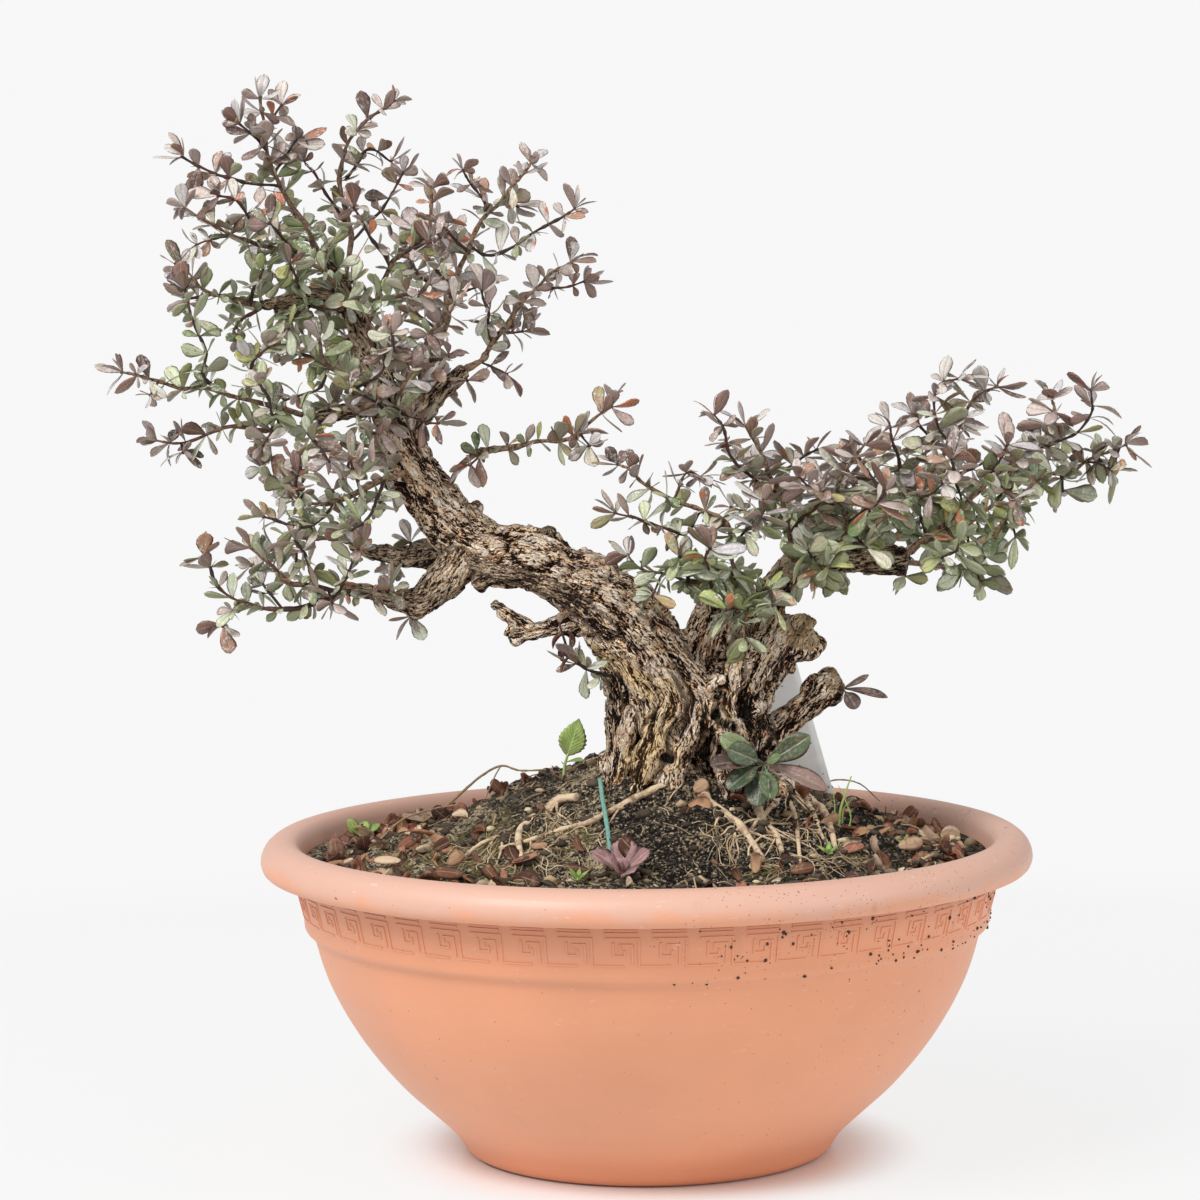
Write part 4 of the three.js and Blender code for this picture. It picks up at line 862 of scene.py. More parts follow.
# Blades from coarse, for leaves by the thousand, to fine, for the few large ones
LEAF = BladePattern([0.1, 0.32, 0.54, 0.74, 0.91], 5, obovate)
DRY_LEAF = BladePattern([0.08, 0.26, 0.45, 0.62, 0.79, 0.93], 5, oval)
STRAP_LEAF = BladePattern([0.08, 0.3, 0.55, 0.8, 0.94], 5, strap)
LARGE_LEAF = BladePattern([0.05, 0.14, 0.26, 0.38, 0.5, 0.61, 0.71, 0.8, 0.88, 0.95, 0.985], 9, obovate)
ROUND_LEAF = BladePattern([0.05, 0.2, 0.28, 0.32, 0.38, 0.47, 0.58, 0.7, 0.81, 0.9, 0.96, 0.99], 9, stalked)
TOOTHED_LEAF = BladePattern(np.linspace(0.03, 0.985, 46), 9, toothed)

# Up and to the front
FORWARD = np.array([0, -0.75, 0.66])


class Wire:
    """One output of a material's nodes; arithmetic on it adds Math nodes."""

    def __init__(self, shader, socket):
        self.shader = shader
        self.socket = socket

    def math(self, operation, *others):
        return self.shader.node("Math", {"operation": operation}, dict(enumerate((self, *others))))

    def __add__(self, other):
        return self.math("ADD", other)

    def __sub__(self, other):
        return self.math("SUBTRACT", other)

    def __rsub__(self, other):
        return self.shader.node("Math", {"operation": "SUBTRACT"}, {0: other, 1: self})

    def __mul__(self, other):
        return self.math("MULTIPLY", other)

    def __gt__(self, other):
        return self.math("GREATER_THAN", other)

    def __abs__(self):
        return self.math("ABSOLUTE")

    __radd__ = __add__
    __rmul__ = __mul__

    def part(self, axis):
        """One coordinate of a vector."""
        return self.shader.node("SeparateXYZ", {}, {0: self}, axis)

    def step(self, low, high, start=0.0, end=1.0):
        """Smooth rise from start to end while the value goes from low to high."""
        values = {"Value": self, "From Min": low, "From Max": high, "To Min": start, "To Max": end}
        return self.shader.node("MapRange", {"interpolation_type": "SMOOTHSTEP"}, values)


def solid(shade):
    """A colour with full cover, from a link, three numbers or a screen colour's six digits."""
    if isinstance(shade, Wire):
        return shade
    return (*(paint(shade) if isinstance(shade, str) else shade), 1)


class Shader:
    """One material and its nodes."""

    def __init__(self, name, **values):
        self.material = bpy.data.materials.new(name)
        self.material.use_nodes = True
        self.tree = self.material.node_tree
        self.surface = self.tree.nodes["Principled BSDF"]
        for key, value in values.items():
            self.surface.inputs[key.replace("_", " ")].default_value = value

    def node(self, kind, settings, values, output=0):
        """Adds a node of a kind: its settings first, then its sockets' values or links; gives one output."""
        made = self.tree.nodes.new("ShaderNode" + kind)
        for key, value in settings.items():
            if key == "stops":
                ramp = made.color_ramp.elements
                while len(ramp) < len(value):
                    ramp.new(0.5)
                for stop, (place, shade) in zip(ramp, value):
                    stop.position = place
                    stop.color = solid(shade)
            else:
                setattr(made, key, value)
        for key, value in values.items():
            if isinstance(value, Wire):
                self.tree.links.new(value.socket, made.inputs[key])
            else:
                made.inputs[key].default_value = value
        return Wire(self, made.outputs[output])

    def value(self, name):
        """A number that each point of the mesh carries."""
        return self.node("Attribute", {"attribute_name": name}, {}, "Fac")

    def vector(self, name):
        """A vector that each point of the mesh carries."""
        return self.node("Attribute", {"attribute_name": name}, {}, "Vector")

    def place(self):
        """Place on the tree in metres."""
        return self.node("TexCoord", {}, {}, "Object")

    def cloud(self, place, scale, detail=3, rough=0.55):
        """Fractal noise from 0 to 1."""
        values = {"Vector": place, "Scale": scale, "Detail": detail, "Roughness": rough}
        return self.node("TexNoise", {}, values, 0)

    def stretch(self, place, scale):
        """A place with each direction scaled on its own."""
        return self.node("VectorMath", {"operation": "MULTIPLY"}, {0: place, 1: scale})

    def fibres(self, place, slow, scale, detail, rough=0.55):
        """Fractal noise drawn out along the third direction."""
        return self.cloud(self.stretch(place, (1, 1, slow)), scale, detail, rough)

    def cells(self, place, scale, output="Distance"):
        """Distance to the nearest of scattered dots, or that dot's own colour."""
        return self.node("TexVoronoi", {}, {"Vector": place, "Scale": scale}, output)

    def shifted(self, place, by, reach):
        """A place pushed about by a noise colour, for winding patterns."""
        values = {0: self.node("VectorMath", {"operation": "SUBTRACT"}, {0: by, 1: (0.5, 0.5, 0.5)}),
            1: (reach, reach, reach), 2: place}
        return self.node("VectorMath", {"operation": "MULTIPLY_ADD"}, values)

    def mix(self, share, first, second):
        """Colour that goes from first to second."""
        return self.node("Mix", {"data_type": "RGBA"}, {0: share, 6: solid(first), 7: solid(second)}, 2)

    def ramp(self, share, *stops):
        """Colour that runs through stops, each a share and a colour."""
        return self.node("ValToRGB", {"stops": stops}, {0: share})

    def painted_light(self, place, scale, step, detail=3):
        """Painted light and shade: how much fractal lumps rise towards the light, the noise here less that
        one step nearer to it.
        """
        near = self.node("VectorMath", {"operation": "ADD"}, {0: place, 1: step})
        return self.cloud(place, scale, detail, 0.6) - self.cloud(near, scale, detail, 0.6)

    def bump(self, height, distance, strength=1.0):
        """Relief of a height in metres."""
        return self.node("Bump", {}, {"Height": height, "Distance": distance, "Strength": strength})

    def finish(self, **inputs):
        """Links values to the surface's sockets and gives the material."""
        for key, value in inputs.items():
            self.tree.links.new(value.socket, self.surface.inputs[key.replace("_", " ")])
        return self.material


def mound(x, y):
    """Height of the compost: a cosine heap round the trunk, steeper to the front."""
    dy = y - HEAP_PEAK[1]
    dy = np.where(dy < 0, dy * HEAP_STEEPER, dy)
    way = np.minimum(np.hypot(x - HEAP_PEAK[0], dy) / HEAP_REACH, 1)
    return HEAP_EDGE + HEAP_RISE * (0.5 + 0.5 * np.cos(np.pi * way))


def ground(x, y):
    """Height of the finished compost: the heap with hollows, lumps and crumbs, level at the wall."""
    x = np.asarray(x, float)
    y = np.asarray(y, float)
    flat = np.stack([x, y, np.zeros_like(x)], -1)
    inner = 1 - np.minimum(np.hypot(x, y) / 176.4, 1) ** 10
    lump = 2.4 * noise(flat, 31, 3) + 2.3 * noise(flat, 14, 4)
    lump = lump + 2.1 * noise(flat, 7, 5) + 1.3 * noise(flat, 3.6, 6)
    waves = np.sin(x * 0.13 + y * 0.07) + np.sin(y * 0.17 - x * 0.05)
    return mound(x, y) - 0.6 + lump * inner + waves * inner


def lathe(section, around):
    """Surface of revolution: (r cos a, r sin a, z), with poles where the section starts and ends."""
    section = np.asarray(section, float)
    angle = np.linspace(0, 2 * np.pi, around, endpoint=False)
    rings = np.stack([section[:, :1] * np.cos(angle), section[:, :1] * np.sin(angle),
        np.repeat(section[:, 1:], around, 1)], -1)
    return closed_rings(rings, [0, 0, section[0, 1]], [0, 0, section[-1, 1]])


def rounded(section, gap):
    """Points at even small gaps along a section, after its corners are cut twice to a soft round."""
    p = np.asarray(section, float)
    for _ in range(2):
        near = 0.8 * p[:-1] + 0.2 * p[1:]
        far = 0.2 * p[:-1] + 0.8 * p[1:]
        p = np.vstack([p[:1], np.stack([near, far], 1).reshape(-1, 2), p[-1:]])
    way = walked(p)
    even = np.linspace(0, way[-1], int(way[-1] / gap) + 1)
    return np.stack([np.interp(even, way, p[:, k]) for k in (0, 1)], -1)


def terracotta_finish(settings):
    """Moulded clay-coloured plastic: faint clouds, a pale bloom high up, soil specks, a deeper orange at the
    foot and a painted shadow under the lip.
    """
    shader = Shader("terracotta plastic", Roughness=0.42, Specular_IOR_Level=0.5, Coat_Weight=0.14,
        Coat_Roughness=0.25)
    place = shader.place()
    height = place.part(2)
    cloudy = shader.cloud(place, 9, 4)
    streaks = shader.cloud(shader.stretch(place, (6, 6, 90)), 1.5, 3)
    clay = shader.mix(cloudy.step(0.3, 0.75), tinted(settings.terracotta, 0.94),
        tinted(settings.terracotta, 1.05))
    wavy = height + (shader.cloud(shader.stretch(place, (20, 20, 12)), 1, 4, 0.6) - 0.5) * 0.03
    bloom = height.step(0.128, 0.163) * 0.25 + wavy.step(0.15, 0.159) * 0.65
    clay = shader.mix(bloom, clay, settings.rim_bloom)
    clay = shader.mix(streaks.step(0.56, 0.75) * 0.14, clay, settings.rim_bloom)
    scuffs = shader.cloud(shader.stretch(place, (40, 40, 160)), 3, 5, 0.7).step(0.63, 0.7)
    clay = shader.mix(scuffs * 0.3 * height.step(0.02, 0.17, 0.35, 1), clay, "FBE6DB")
    side = place.part(0).step(-0.06, 0.16)
    collar = height.step(0.1, 0.135)
    patchy = shader.cloud(place, 24, 3).step(0.42, 0.62)
    dirt = (0.022 + side * collar * patchy + side * height.step(0.02, 0.1) * 0.09) * settings.soil_specks
    near = shader.shifted(place, shader.node("TexNoise", {}, {"Vector": place, "Scale": 500}, 1), 0.004)
    wide = shader.cells(near, 300)
    keep = shader.cells(near, 300, "Color").part(0)
    grown = shader.cells(near, 300, "Color").part(2)
    speck = (dirt * 0.6 > keep) * (wide + grown * 0.22).step(0.28, 0.2)
    fine = shader.cells(place, 720)
    keep_fine = shader.cells(place, 720, "Color").part(1)
    speck = speck.math("MAXIMUM", (dirt > keep_fine) * fine.step(0.26, 0.16))
    smear = shader.cloud(shader.stretch(place, (55, 55, 22)), 2, 5, 0.65).step(0.58, 0.8) * side * collar
    clay = shader.mix(smear * 0.42, clay, "9A6A50")
    clay = shader.mix(speck * 0.8, clay, "5A3A2A")
    clay = shader.mix(height.step(0.022, 0.004) * 0.5, clay, "DC8A62")
    # Painted shadow: a darker band on the collar just under the lip.
    clay = shader.mix(height.step(0.134, 0.148) * height.step(0.1495, 0.1475) * 0.4, clay, "B06F4E")
    rough = cloudy.step(0.2, 0.8, 0.44, 0.6) + speck * 0.3
    grain = shader.cloud(place, 900, 2)
    dents = shader.cloud(place, 60, 2)
    normal = shader.bump(grain + dents * 0.6, 0.00012, 0.6)
    return shader.finish(Base_Color=clay, Roughness=rough, Normal=normal)


def wall_radius(height):
    """Radius of the bowl's outside at a height on the collar."""
    outside = np.array(BOWL_OUTSIDE[12:])
    return np.interp(height, outside[:, 1], outside[:, 0])


def key_band(settings):
    """Raised lines: a chamfered bar along each line of the unit, (angle, height) laid on the collar."""
    band = Piece()
    pitch = 2 * np.pi / settings.key_units
    wide = settings.key_line / MM / 2
    across = np.array([-1, 1, 0.62, -0.62]) * wide
    above = np.array([-0.5, -0.5, 0.5, 0.5])
    for unit_number in range(settings.key_units):
        for line in KEY_LINES:
            corners = np.array(line)
            arc = corners[:, 0] * pitch * COLLAR_REACH
            rise = -corners[:, 1] * settings.key_height / MM
            flat = np.stack([arc, rise], -1)
            way = unit(np.diff(flat, axis=0))
            side = np.stack([-way[:, 1], way[:, 0]], -1)
            before = np.vstack([side[:1], side])
            after = np.vstack([side, side[-1:]])
            mitre = (before + after) / (1 + (before * after).sum(-1, keepdims=True))
            dense, spread = [], []
            for k in range(len(flat) - 1):
                many = max(int(np.linalg.norm(flat[k + 1] - flat[k]) / 3), 1)
                share_along = np.linspace(0, 1, many + 1)[:-1, None]
                dense.append(flat[k] + (flat[k + 1] - flat[k]) * share_along)
                spread.append(np.where(share_along == 0, mitre[k], side[k]))
            dense = np.vstack([*dense, flat[-1:]])
            spread = np.vstack([*spread, mitre[-1:]])
            flat_rings = dense[:, None] + spread[:, None] * across[None, :, None]
            height = settings.key_top / MM + flat_rings[..., 1]
            turn = flat_rings[..., 0] / COLLAR_REACH + unit_number * pitch - np.pi / 2
            reach = wall_radius(height) + above
            rings = np.stack([reach * np.cos(turn), reach * np.sin(turn), height], -1)
            band.add(*closed_rings(rings, rings[0].mean(0), rings[-1].mean(0)))
    return band


class BONSAI_OT_bowl(bpy.types.Operator):
    """Turn the bowl on its section, with drain holes and the key pattern in relief round its collar"""

    bl_idname = "bonsai.bowl"
    bl_label = "Bowl"

    def execute(self, context):
        settings = context.scene.bonsai_bowl
        clay = terracotta_finish(settings)
        outside = rounded(BOWL_OUTSIDE + BOWL_LIP, 1.8)
        section = np.vstack([DRAIN_LOW, outside, BOWL_INSIDE, DRAIN_HIGH])
        body = Piece()
        body.add(*lathe(section, 232))
        bowl = body.make("bowl_wall", [clay])
        drill = Piece()
        for i in range(4):
            turn = (i + 0.5) * np.pi / 2
            x, y = DRAIN_CIRCLE * np.cos(turn), DRAIN_CIRCLE * np.sin(turn)
            drill.add(*bar([[x, y, -9], [x, y, 3], [x, y, 15]], [DRAIN_HOLE, DRAIN_HOLE], 24, 2))
        cutter = drill.make("drill", [])
        cut = bowl.modifiers.new("drain", "BOOLEAN")
        cut.object = cutter
        cut.operation = "DIFFERENCE"
        cut.solver = "EXACT"
        settle(bowl)
        bpy.data.objects.remove(cutter)
        put(bowl, "terracotta_plastic", "bowl")
        band = key_band(settings).make("bowl_key_band", [clay])
        band.data.polygons.foreach_set("use_smooth", np.zeros(len(band.data.polygons), bool))
        put(band, "terracotta_plastic")
        return {"FINISHED"}


def compost_finish(settings):
    """Compost: dark grains, drier lumps, pale specks, winding fibres, olive moss on its patches, and painted
    light and shade on its lumps.
    """
    shader = Shader("compost", Specular_IOR_Level=0.25)
    place = shader.place()
    grains = shader.cloud(place, 380, 5, 0.75)
    patches = shader.cloud(place, 38, 4, 0.6)
    # Painted light and shade: the lumps' sides towards the light are lightened and the far sides darkened in
    # the colour.
    level = grains + shader.painted_light(place, 520, (-0.0004, -0.0002, 0.0008), 4) * 1.1 + (patches - 0.5) * 0.5
    level = level + place.part(0).step(0.03, -0.05, -0.06, 0.08) + place.part(0).step(0.06, 0.1) * 0.06
    soil = shader.ramp(level, (0.38, "080605"), (0.48, tinted(settings.compost, 0.26)),
        (0.57, settings.compost), (0.76, "DCCAA8"))
    soil = shader.mix(patches.step(0.52, 0.7) * level.step(0.42, 0.6) * 0.6, soil, settings.dry_crumb)
    dark = shader.cloud(place, 22, 3).step(0.48, 0.62)
    soil = shader.mix(dark * 0.7, soil, "15110E")
    flecks = shader.cells(place, 560)
    keep = shader.cells(place, 560, "Color").part(0)
    soil = shader.mix((keep > 0.88) * flecks.step(0.42, 0.2) * 0.9, soil, "D2BC98")
    near = shader.shifted(place, shader.node("TexNoise", {}, {"Vector": place, "Scale": 90}, 1), 0.03)
    bared = shader.cloud(place, 50, 2).step(0.5, 0.6)
    strands = abs(shader.cloud(near, 110, 1) - 0.5).step(0.012, 0.0) * bared
    soil = shader.mix(strands * 0.75, soil, "C3A984")
    moss = shader.value("moss") * shader.cloud(place, 120, 4).step(0.36, 0.66)
    green = shader.ramp(shader.cloud(place, 620, 4, 0.7), (0.36, tinted(settings.moss, 0.3)),
        (0.52, settings.moss), (0.66, tinted(settings.moss, 1.9)))
    soil = shader.mix(moss * 0.85, soil, green)
    relief = shader.bump(grains + shader.cloud(place, 1300, 2) * 0.4 + strands * 0.3, 0.0026, 1.0)
    return shader.finish(Base_Color=soil, Roughness=grains.step(0.3, 0.7, 0.8, 1.0), Normal=relief)


def litter_finish(settings):
    """Dead leaves from tan to dark brown, with a midrib, blotches and dusty patches."""
    shader = Shader("fallen leaves", Roughness=0.75, Specular_IOR_Level=0.3)
    place = shader.vector("leaf_place")
    kind = shader.vector("leaf_kind")
    spot = shader.place()
    shade = shader.ramp(kind.part(0), (0.0, "3E2620"), (0.2, "5E3A2E"), (0.4, settings.leaf_brown),
        (0.55, "9C5A4C"), (0.7, "A97F5E"), (0.86, "DCC6A8"), (1.0, "6A342E"))
    blotch = shader.cloud(spot, 260, 4, 0.6)
    shade = shader.mix(blotch.step(0.5, 0.7) * 0.65, shade, "5A4234")
    shade = shader.mix(blotch.step(0.48, 0.3) * 0.35, shade, "C9AE93")
    rib = abs(place.part(1)).step(0.1, 0.02)
    shade = shader.mix(rib * 0.4, shade, "CDB190")
    wrinkles = shader.cloud(spot, 600, 3)
    return shader.finish(Base_Color=shade, Normal=shader.bump(wrinkles + rib * 0.5, 0.0005, 0.8))


def crumb_finish(settings):
    """Loose crumbs, chips and stems: each takes its own brown, from black soil to bleached straw."""
    shader = Shader("crumbs and stems", Roughness=0.9, Specular_IOR_Level=0.25)
    kind = shader.vector("leaf_kind")
    shade = shader.ramp(kind.part(0), (0.0, tinted(settings.compost, 0.5)),
        (0.5, settings.compost), (0.7, settings.dry_crumb), (0.85, "A98E6C"),
        (1.0, "E2CFAC"))
    grain = shader.cloud(shader.place(), 900, 3)
    shade = shader.mix(grain.step(0.5, 0.75) * 0.45, shade, "4A3A2C")
    return shader.finish(Base_Color=shade, Normal=shader.bump(grain, 0.0006, 0.8))


def moss_share(x, y):
    """How mossy the compost is: the largest of soft round patches with a ragged edge."""
    flat = np.stack([x, y, np.zeros_like(x)], -1)
    ragged = 0.35 * noise(flat, 9, 21) + 0.2 * noise(flat, 4, 22)
    spots = [smooth(1.25, 0.55, np.hypot(x - a, y - b) / r + ragged) for a, b, r in MOSS_PATCHES]
    return np.max(spots, axis=0)


def scattered(many, seed, edge=166.0):
    """Even random places in the bowl: r = edge sqrt(c), with the foot of the trunk left free."""
    i = np.arange(many)
    reach = edge * np.sqrt(chance(i, 5.3, seed))
    turn = 2 * np.pi * chance(i, 9.1, seed + 0.5)
    x, y = reach * np.cos(turn), reach * np.sin(turn)
    free = np.hypot((x - 20) / 52, y / 36) > 1
    return i[free], x[free], y[free]


def laid(flat, lift):
    """A path over the ground: each place at the ground's height and its own lift."""
    return [[p[0], p[1], float(ground(p[0], p[1])) + up] for p, up in zip(flat, lift)]


def heap_shape():
    """A square grid squeezed into a disc, raised to the ground's height and closed along the wall."""
    side = 204
    s = np.linspace(-1, 1, side + 1)
    a, b = np.meshgrid(s, s, indexing="ij")
    x = a * np.sqrt(1 - b ** 2 / 2) * SOIL_REACH
    y = b * np.sqrt(1 - a ** 2 / 2) * SOIL_REACH
    top = np.stack([x, y, ground(x, y)], -1)
    number = np.arange((side + 1) ** 2).reshape(side + 1, side + 1)
    faces = grid_faces(number)
    rim = np.concatenate([number[0, :-1], number[:-1, -1], number[-1, :0:-1], number[:0:-1, 0]])[::-1]
    edge = top.reshape(-1, 3)[rim]
    turn = unit(edge[:, :2])
    rows = [[168.1, 116.4], [144.7, 63.4], [97.7, 14.4], [60, 6.4]]
    rings = [np.concatenate([turn * r, np.full((len(rim), 1), z)], 1) for r, z in rows]
    many = len(rim)
    first = (side + 1) ** 2
    loops = [rim] + [first + k * many + np.arange(many) for k in range(len(rows))]
    walls = []
    for upper, lower in zip(loops[:-1], loops[1:]):
        walls.append(np.stack([upper, lower, np.roll(lower, -1), np.roll(upper, -1)], -1))
    pole = first + len(rows) * many
    last = loops[-1]
    floor = np.stack([np.full(many, pole), np.roll(last, -1), last], -1)
    points = np.vstack([top.reshape(-1, 3), *rings, [[0, 0, 6.4]]])
    heap = Piece()
    heap.add(points, [faces, np.vstack(walls), floor], moss=moss_share(points[:, 0], points[:, 1]))
    return heap


def crumb_shapes(settings):
    """Lumps whose corners are pushed in or out by chance: most half in the ground, some on the collar."""
    crumbs = Piece()
    corner = unit(np.array(CRUMB_CORNERS, float))
    i, x, y = scattered(settings.crumbs, 3.0, 171)
    large = 0.45 + 2.9 * chance(i, 4, 1) ** 4.5
    centre = np.stack([x, y, ground(x, y) + large * 0.25], -1)
    k = np.arange(len(corner))
    jag = 0.7 + 0.6 * chance(i[:, None], k[None], 2)
    squash = np.stack([1 + 0.5 * chance(i, 1, 7), 1 - 0.3 * chance(i, 2, 7), 0.6 + 0.3 * chance(i, 3, 7)], -1)
    points = centre[:, None] + corner[None] * (jag * large[:, None])[..., None] * squash[:, None]
    faces = repeated(CRUMB_FACES, len(i), len(corner))
    kind = np.stack([chance(i, 6, 6) ** 1.6, chance(i, 7, 7), chance(i, 8, 8)], -1)
    crumbs.add(points, [faces], leaf_kind=np.repeat(kind, len(corner), axis=0))
    n = np.arange(150)
    turn = np.radians(-88 + 96 * chance(n, 2, 11) ** 0.8)
    high = 118 + 29 * chance(n, 3, 12)
    tiny = 0.35 + 0.75 * chance(n, 4, 13) ** 2
    reach = wall_radius(high) + 0.1
    centre = np.stack([reach * np.cos(turn), reach * np.sin(turn), high], -1)
    jag = 0.7 + 0.6 * chance(n[:, None], k[None], 14)
    points = centre[:, None] + corner[None] * (jag * tiny[:, None])[..., None]
    faces = repeated(CRUMB_FACES, len(n), len(corner))
    crumbs.add(points, [faces], leaf_kind=np.tile([0.25, 0.5, 0.5], (len(n) * len(corner), 1)))
    return crumbs


def add_stem(stems, shape, tone):
    """Adds a bar whose every point has the same tone."""
    stems.add(*shape, leaf_kind=np.tile([tone, 0, 0], (len(shape[0]), 1)))


def stem_shapes(settings):
    """Short crooked stems lying on the ground, thin fibres at the front and the dead stems that arch."""
    stems = Piece()
    i, x, y = scattered(settings.sticks, 8.0, 160)
    for n, a, b in zip(i, x, y):
        heading = FULL_TURN * chance(n, 2, 21)
        long = 5 + 22 * chance(n, 3, 22) ** 2
        way = np.array([np.cos(heading), np.sin(heading)])
        bow = np.array([-way[1], way[0]]) * (chance(n, 4, 23) - 0.5) * long * 0.5
        start = np.array([a, b])
        flat = [start, start + way * long * 0.5 + bow, start + way * long]
        lift = [0.2, 0.8 + 1.6 * chance(n, 5, 24), 0.2 + 3 * chance(n, 6, 25) ** 3]
        path = laid(flat, lift)
        if max(np.hypot(p[0], p[1]) for p in path) > 172:
            continue
        thick = 0.28 + 0.55 * chance(n, 7, 26) ** 2
        tone = 0.45 + 0.55 * chance(n, 8, 27)
        add_stem(stems, bar(path, [thick, thick * 0.6], 5, 6, 0.25, int(n)), tone)
    i = np.arange(150)
    side = i % 2 == 0
    x = np.where(side, -66, 62) + 74 * (chance(i, 3, 91) - 0.5)
    y = np.where(side, -62, -70) + 46 * (chance(i, 4, 92) - 0.5)
    for n, a, b in zip(i, x, y):
        heading = FULL_TURN * chance(n, 5, 93)
        flat = [np.array([a, b])]
        for step in range(5):
            heading += (chance(n, step, 94) - 0.5) * 1.7
            way = np.array([np.cos(heading), np.sin(heading)])
            flat.append(flat[-1] + (2 + 4.5 * chance(n, step, 95)) * way)
        lift = [-0.3, 0.5, 0.3 + 1.8 * chance(n, 6, 96), 0.5, 0.3 + 1.5 * chance(n, 7, 97), -0.2]
        path = laid(flat, lift)
        thin = 0.16 + 0.22 * chance(n, 8, 98) ** 2
        add_stem(stems, bar(path, [thin, thin * 0.7], 4, 16), 0.8 + 0.2 * chance(n, 9, 99))
    for path in ARCHED_STEMS:
        add_stem(stems, bar(path[2:], path[:2], 6, 40, 0.3, 5), 0.8)
    return stems


def fallen_shapes(settings):
    """Dead leaves by chance, thickest towards the left and right of the rim, and the chosen ones."""
    fallen = Piece()
    i, x, y = scattered(settings.fallen * 3, 12.0, 166)
    ring = np.hypot(x, y) / 166
    wanted = 0.03 + 0.95 * np.abs(x / 166) ** 1.5 * ring ** 1.5 + 0.22 * (y > 20) * ring
    keep = chance(i, 3, 31) < wanted
    i, x, y = i[keep][:settings.fallen], x[keep][:settings.fallen], y[keep][:settings.fallen]
    heading = FULL_TURN * chance(i, 4, 32)
    rise = (chance(i, 5, 33) - 0.3) * 1.2
    long = 5 + 10 * chance(i, 6, 34) ** 1.4
    reach = pointing(heading, rise)
    middle = np.stack([x, y, ground(x, y) + 1.0 + 1.2 * chance(i, 7, 35)], -1)
    foot = middle - reach * (long * 0.4)[:, None]
    tip = foot + reach * long[:, None]
    clear = np.hypot(tip[:, 0], tip[:, 1]) < 170
    clear &= np.hypot(foot[:, 0], foot[:, 1]) < 170
    i, foot, reach, long = i[clear], foot[clear], reach[clear], long[clear]
    wide = long * (0.42 + 0.25 * chance(i, 8, 36))
    roll = (chance(i, 9, 37) - 0.5) * 2.6
    bend = (chance(i, 10, 38) - 0.5) * 4.2
    fold = (chance(i, 11, 39) - 0.4) * 2.2
    shape, faces, place = DRY_LEAF.spread(foot, reach * long[:, None], wide, roll, bend, fold, 0.35)
    kind = np.stack([chance(i, 12, 40), chance(i, 13, 41), chance(i, 14, 42)], -1)
    fallen.add(shape, faces, leaf_place=place, leaf_kind=DRY_LEAF.repeat(kind))
    chosen = np.array(CHOSEN_LEAVES)
    foot, reach = chosen[:, 0:3], chosen[:, 3:6]
    roll = chosen[:, 7] + facing(reach, FORWARD)
    shape, faces, place = DRY_LEAF.spread(foot, reach, chosen[:, 6], roll, np.full(len(chosen), 0.35),
        np.full(len(chosen), -0.15), 0.5)
    kind = np.stack([chosen[:, 8]] * 3, -1)
    fallen.add(shape, faces, leaf_place=place, leaf_kind=DRY_LEAF.repeat(kind))
    return fallen


def moss_shapes():
    """Short pointed moss leaves standing in the moss patches."""
    tufts = Piece()
    i, x, y = scattered(9000, 17.0, 168)
    keep = (moss_share(x, y) > 0.45) & (np.arange(len(i)) % 2 == 0)
    i, x, y = i[keep][:1700], x[keep][:1700], y[keep][:1700]
    foot = np.stack([x, y, ground(x, y) - 0.3], -1)
    lean = np.stack([chance(i, 1, 51) - 0.5, chance(i, 2, 52) - 0.5, 0.55 + 0.3 * chance(i, 3, 53)], -1)
    reach = unit(lean) * (1.3 + 1.7 * chance(i, 4, 54))[:, None]
    turn = unit(np.cross(reach, [0.31, 0.2, 0.9]))
    other = np.cross(unit(reach), turn)
    base = [foot + turn * 0.36, foot - turn * 0.18 + other * 0.3, foot - turn * 0.18 - other * 0.3]
    kind = np.repeat(np.stack([chance(i, 5, 55)] * 3, -1), 4, axis=0)
    add_spikes(tufts, base, foot + reach, leaf_kind=kind)
    return tufts


def moss_finish(settings):
    """Moss leaves, each its own green."""
    shader = Shader("moss", Roughness=0.85, Specular_IOR_Level=0.2)
    kind = shader.vector("leaf_kind").part(0)
    near = shader.cloud(shader.place(), 200, 3)
    green = shader.mix(kind * near.step(0.3, 0.7), tinted(settings.moss, 0.5), tinted(settings.moss, 1.8))
    return shader.finish(Base_Color=green)


class BONSAI_OT_compost(bpy.types.Operator):
    """Heap the compost in the bowl and strew it with crumbs, moss, stems and fallen leaves"""

    bl_idname = "bonsai.compost"
    bl_label = "Compost and litter"

    def execute(self, context):
        settings = context.scene.bonsai_soil
        put(heap_shape().make("compost_heap", [compost_finish(settings)]), "compost", "soil")
        crumb = crumb_finish(settings)
        put(crumb_shapes(settings).make("compost_crumbs", [crumb]), "compost")
        put(stem_shapes(settings).make("dead_stems", [crumb]), "bark")
        put(fallen_shapes(settings).make("fallen_leaves", [litter_finish(settings)]), "compost")
        put(moss_shapes().make("moss_tufts", [moss_finish(settings)]), "leaf_bright")
        return {"FINISHED"}


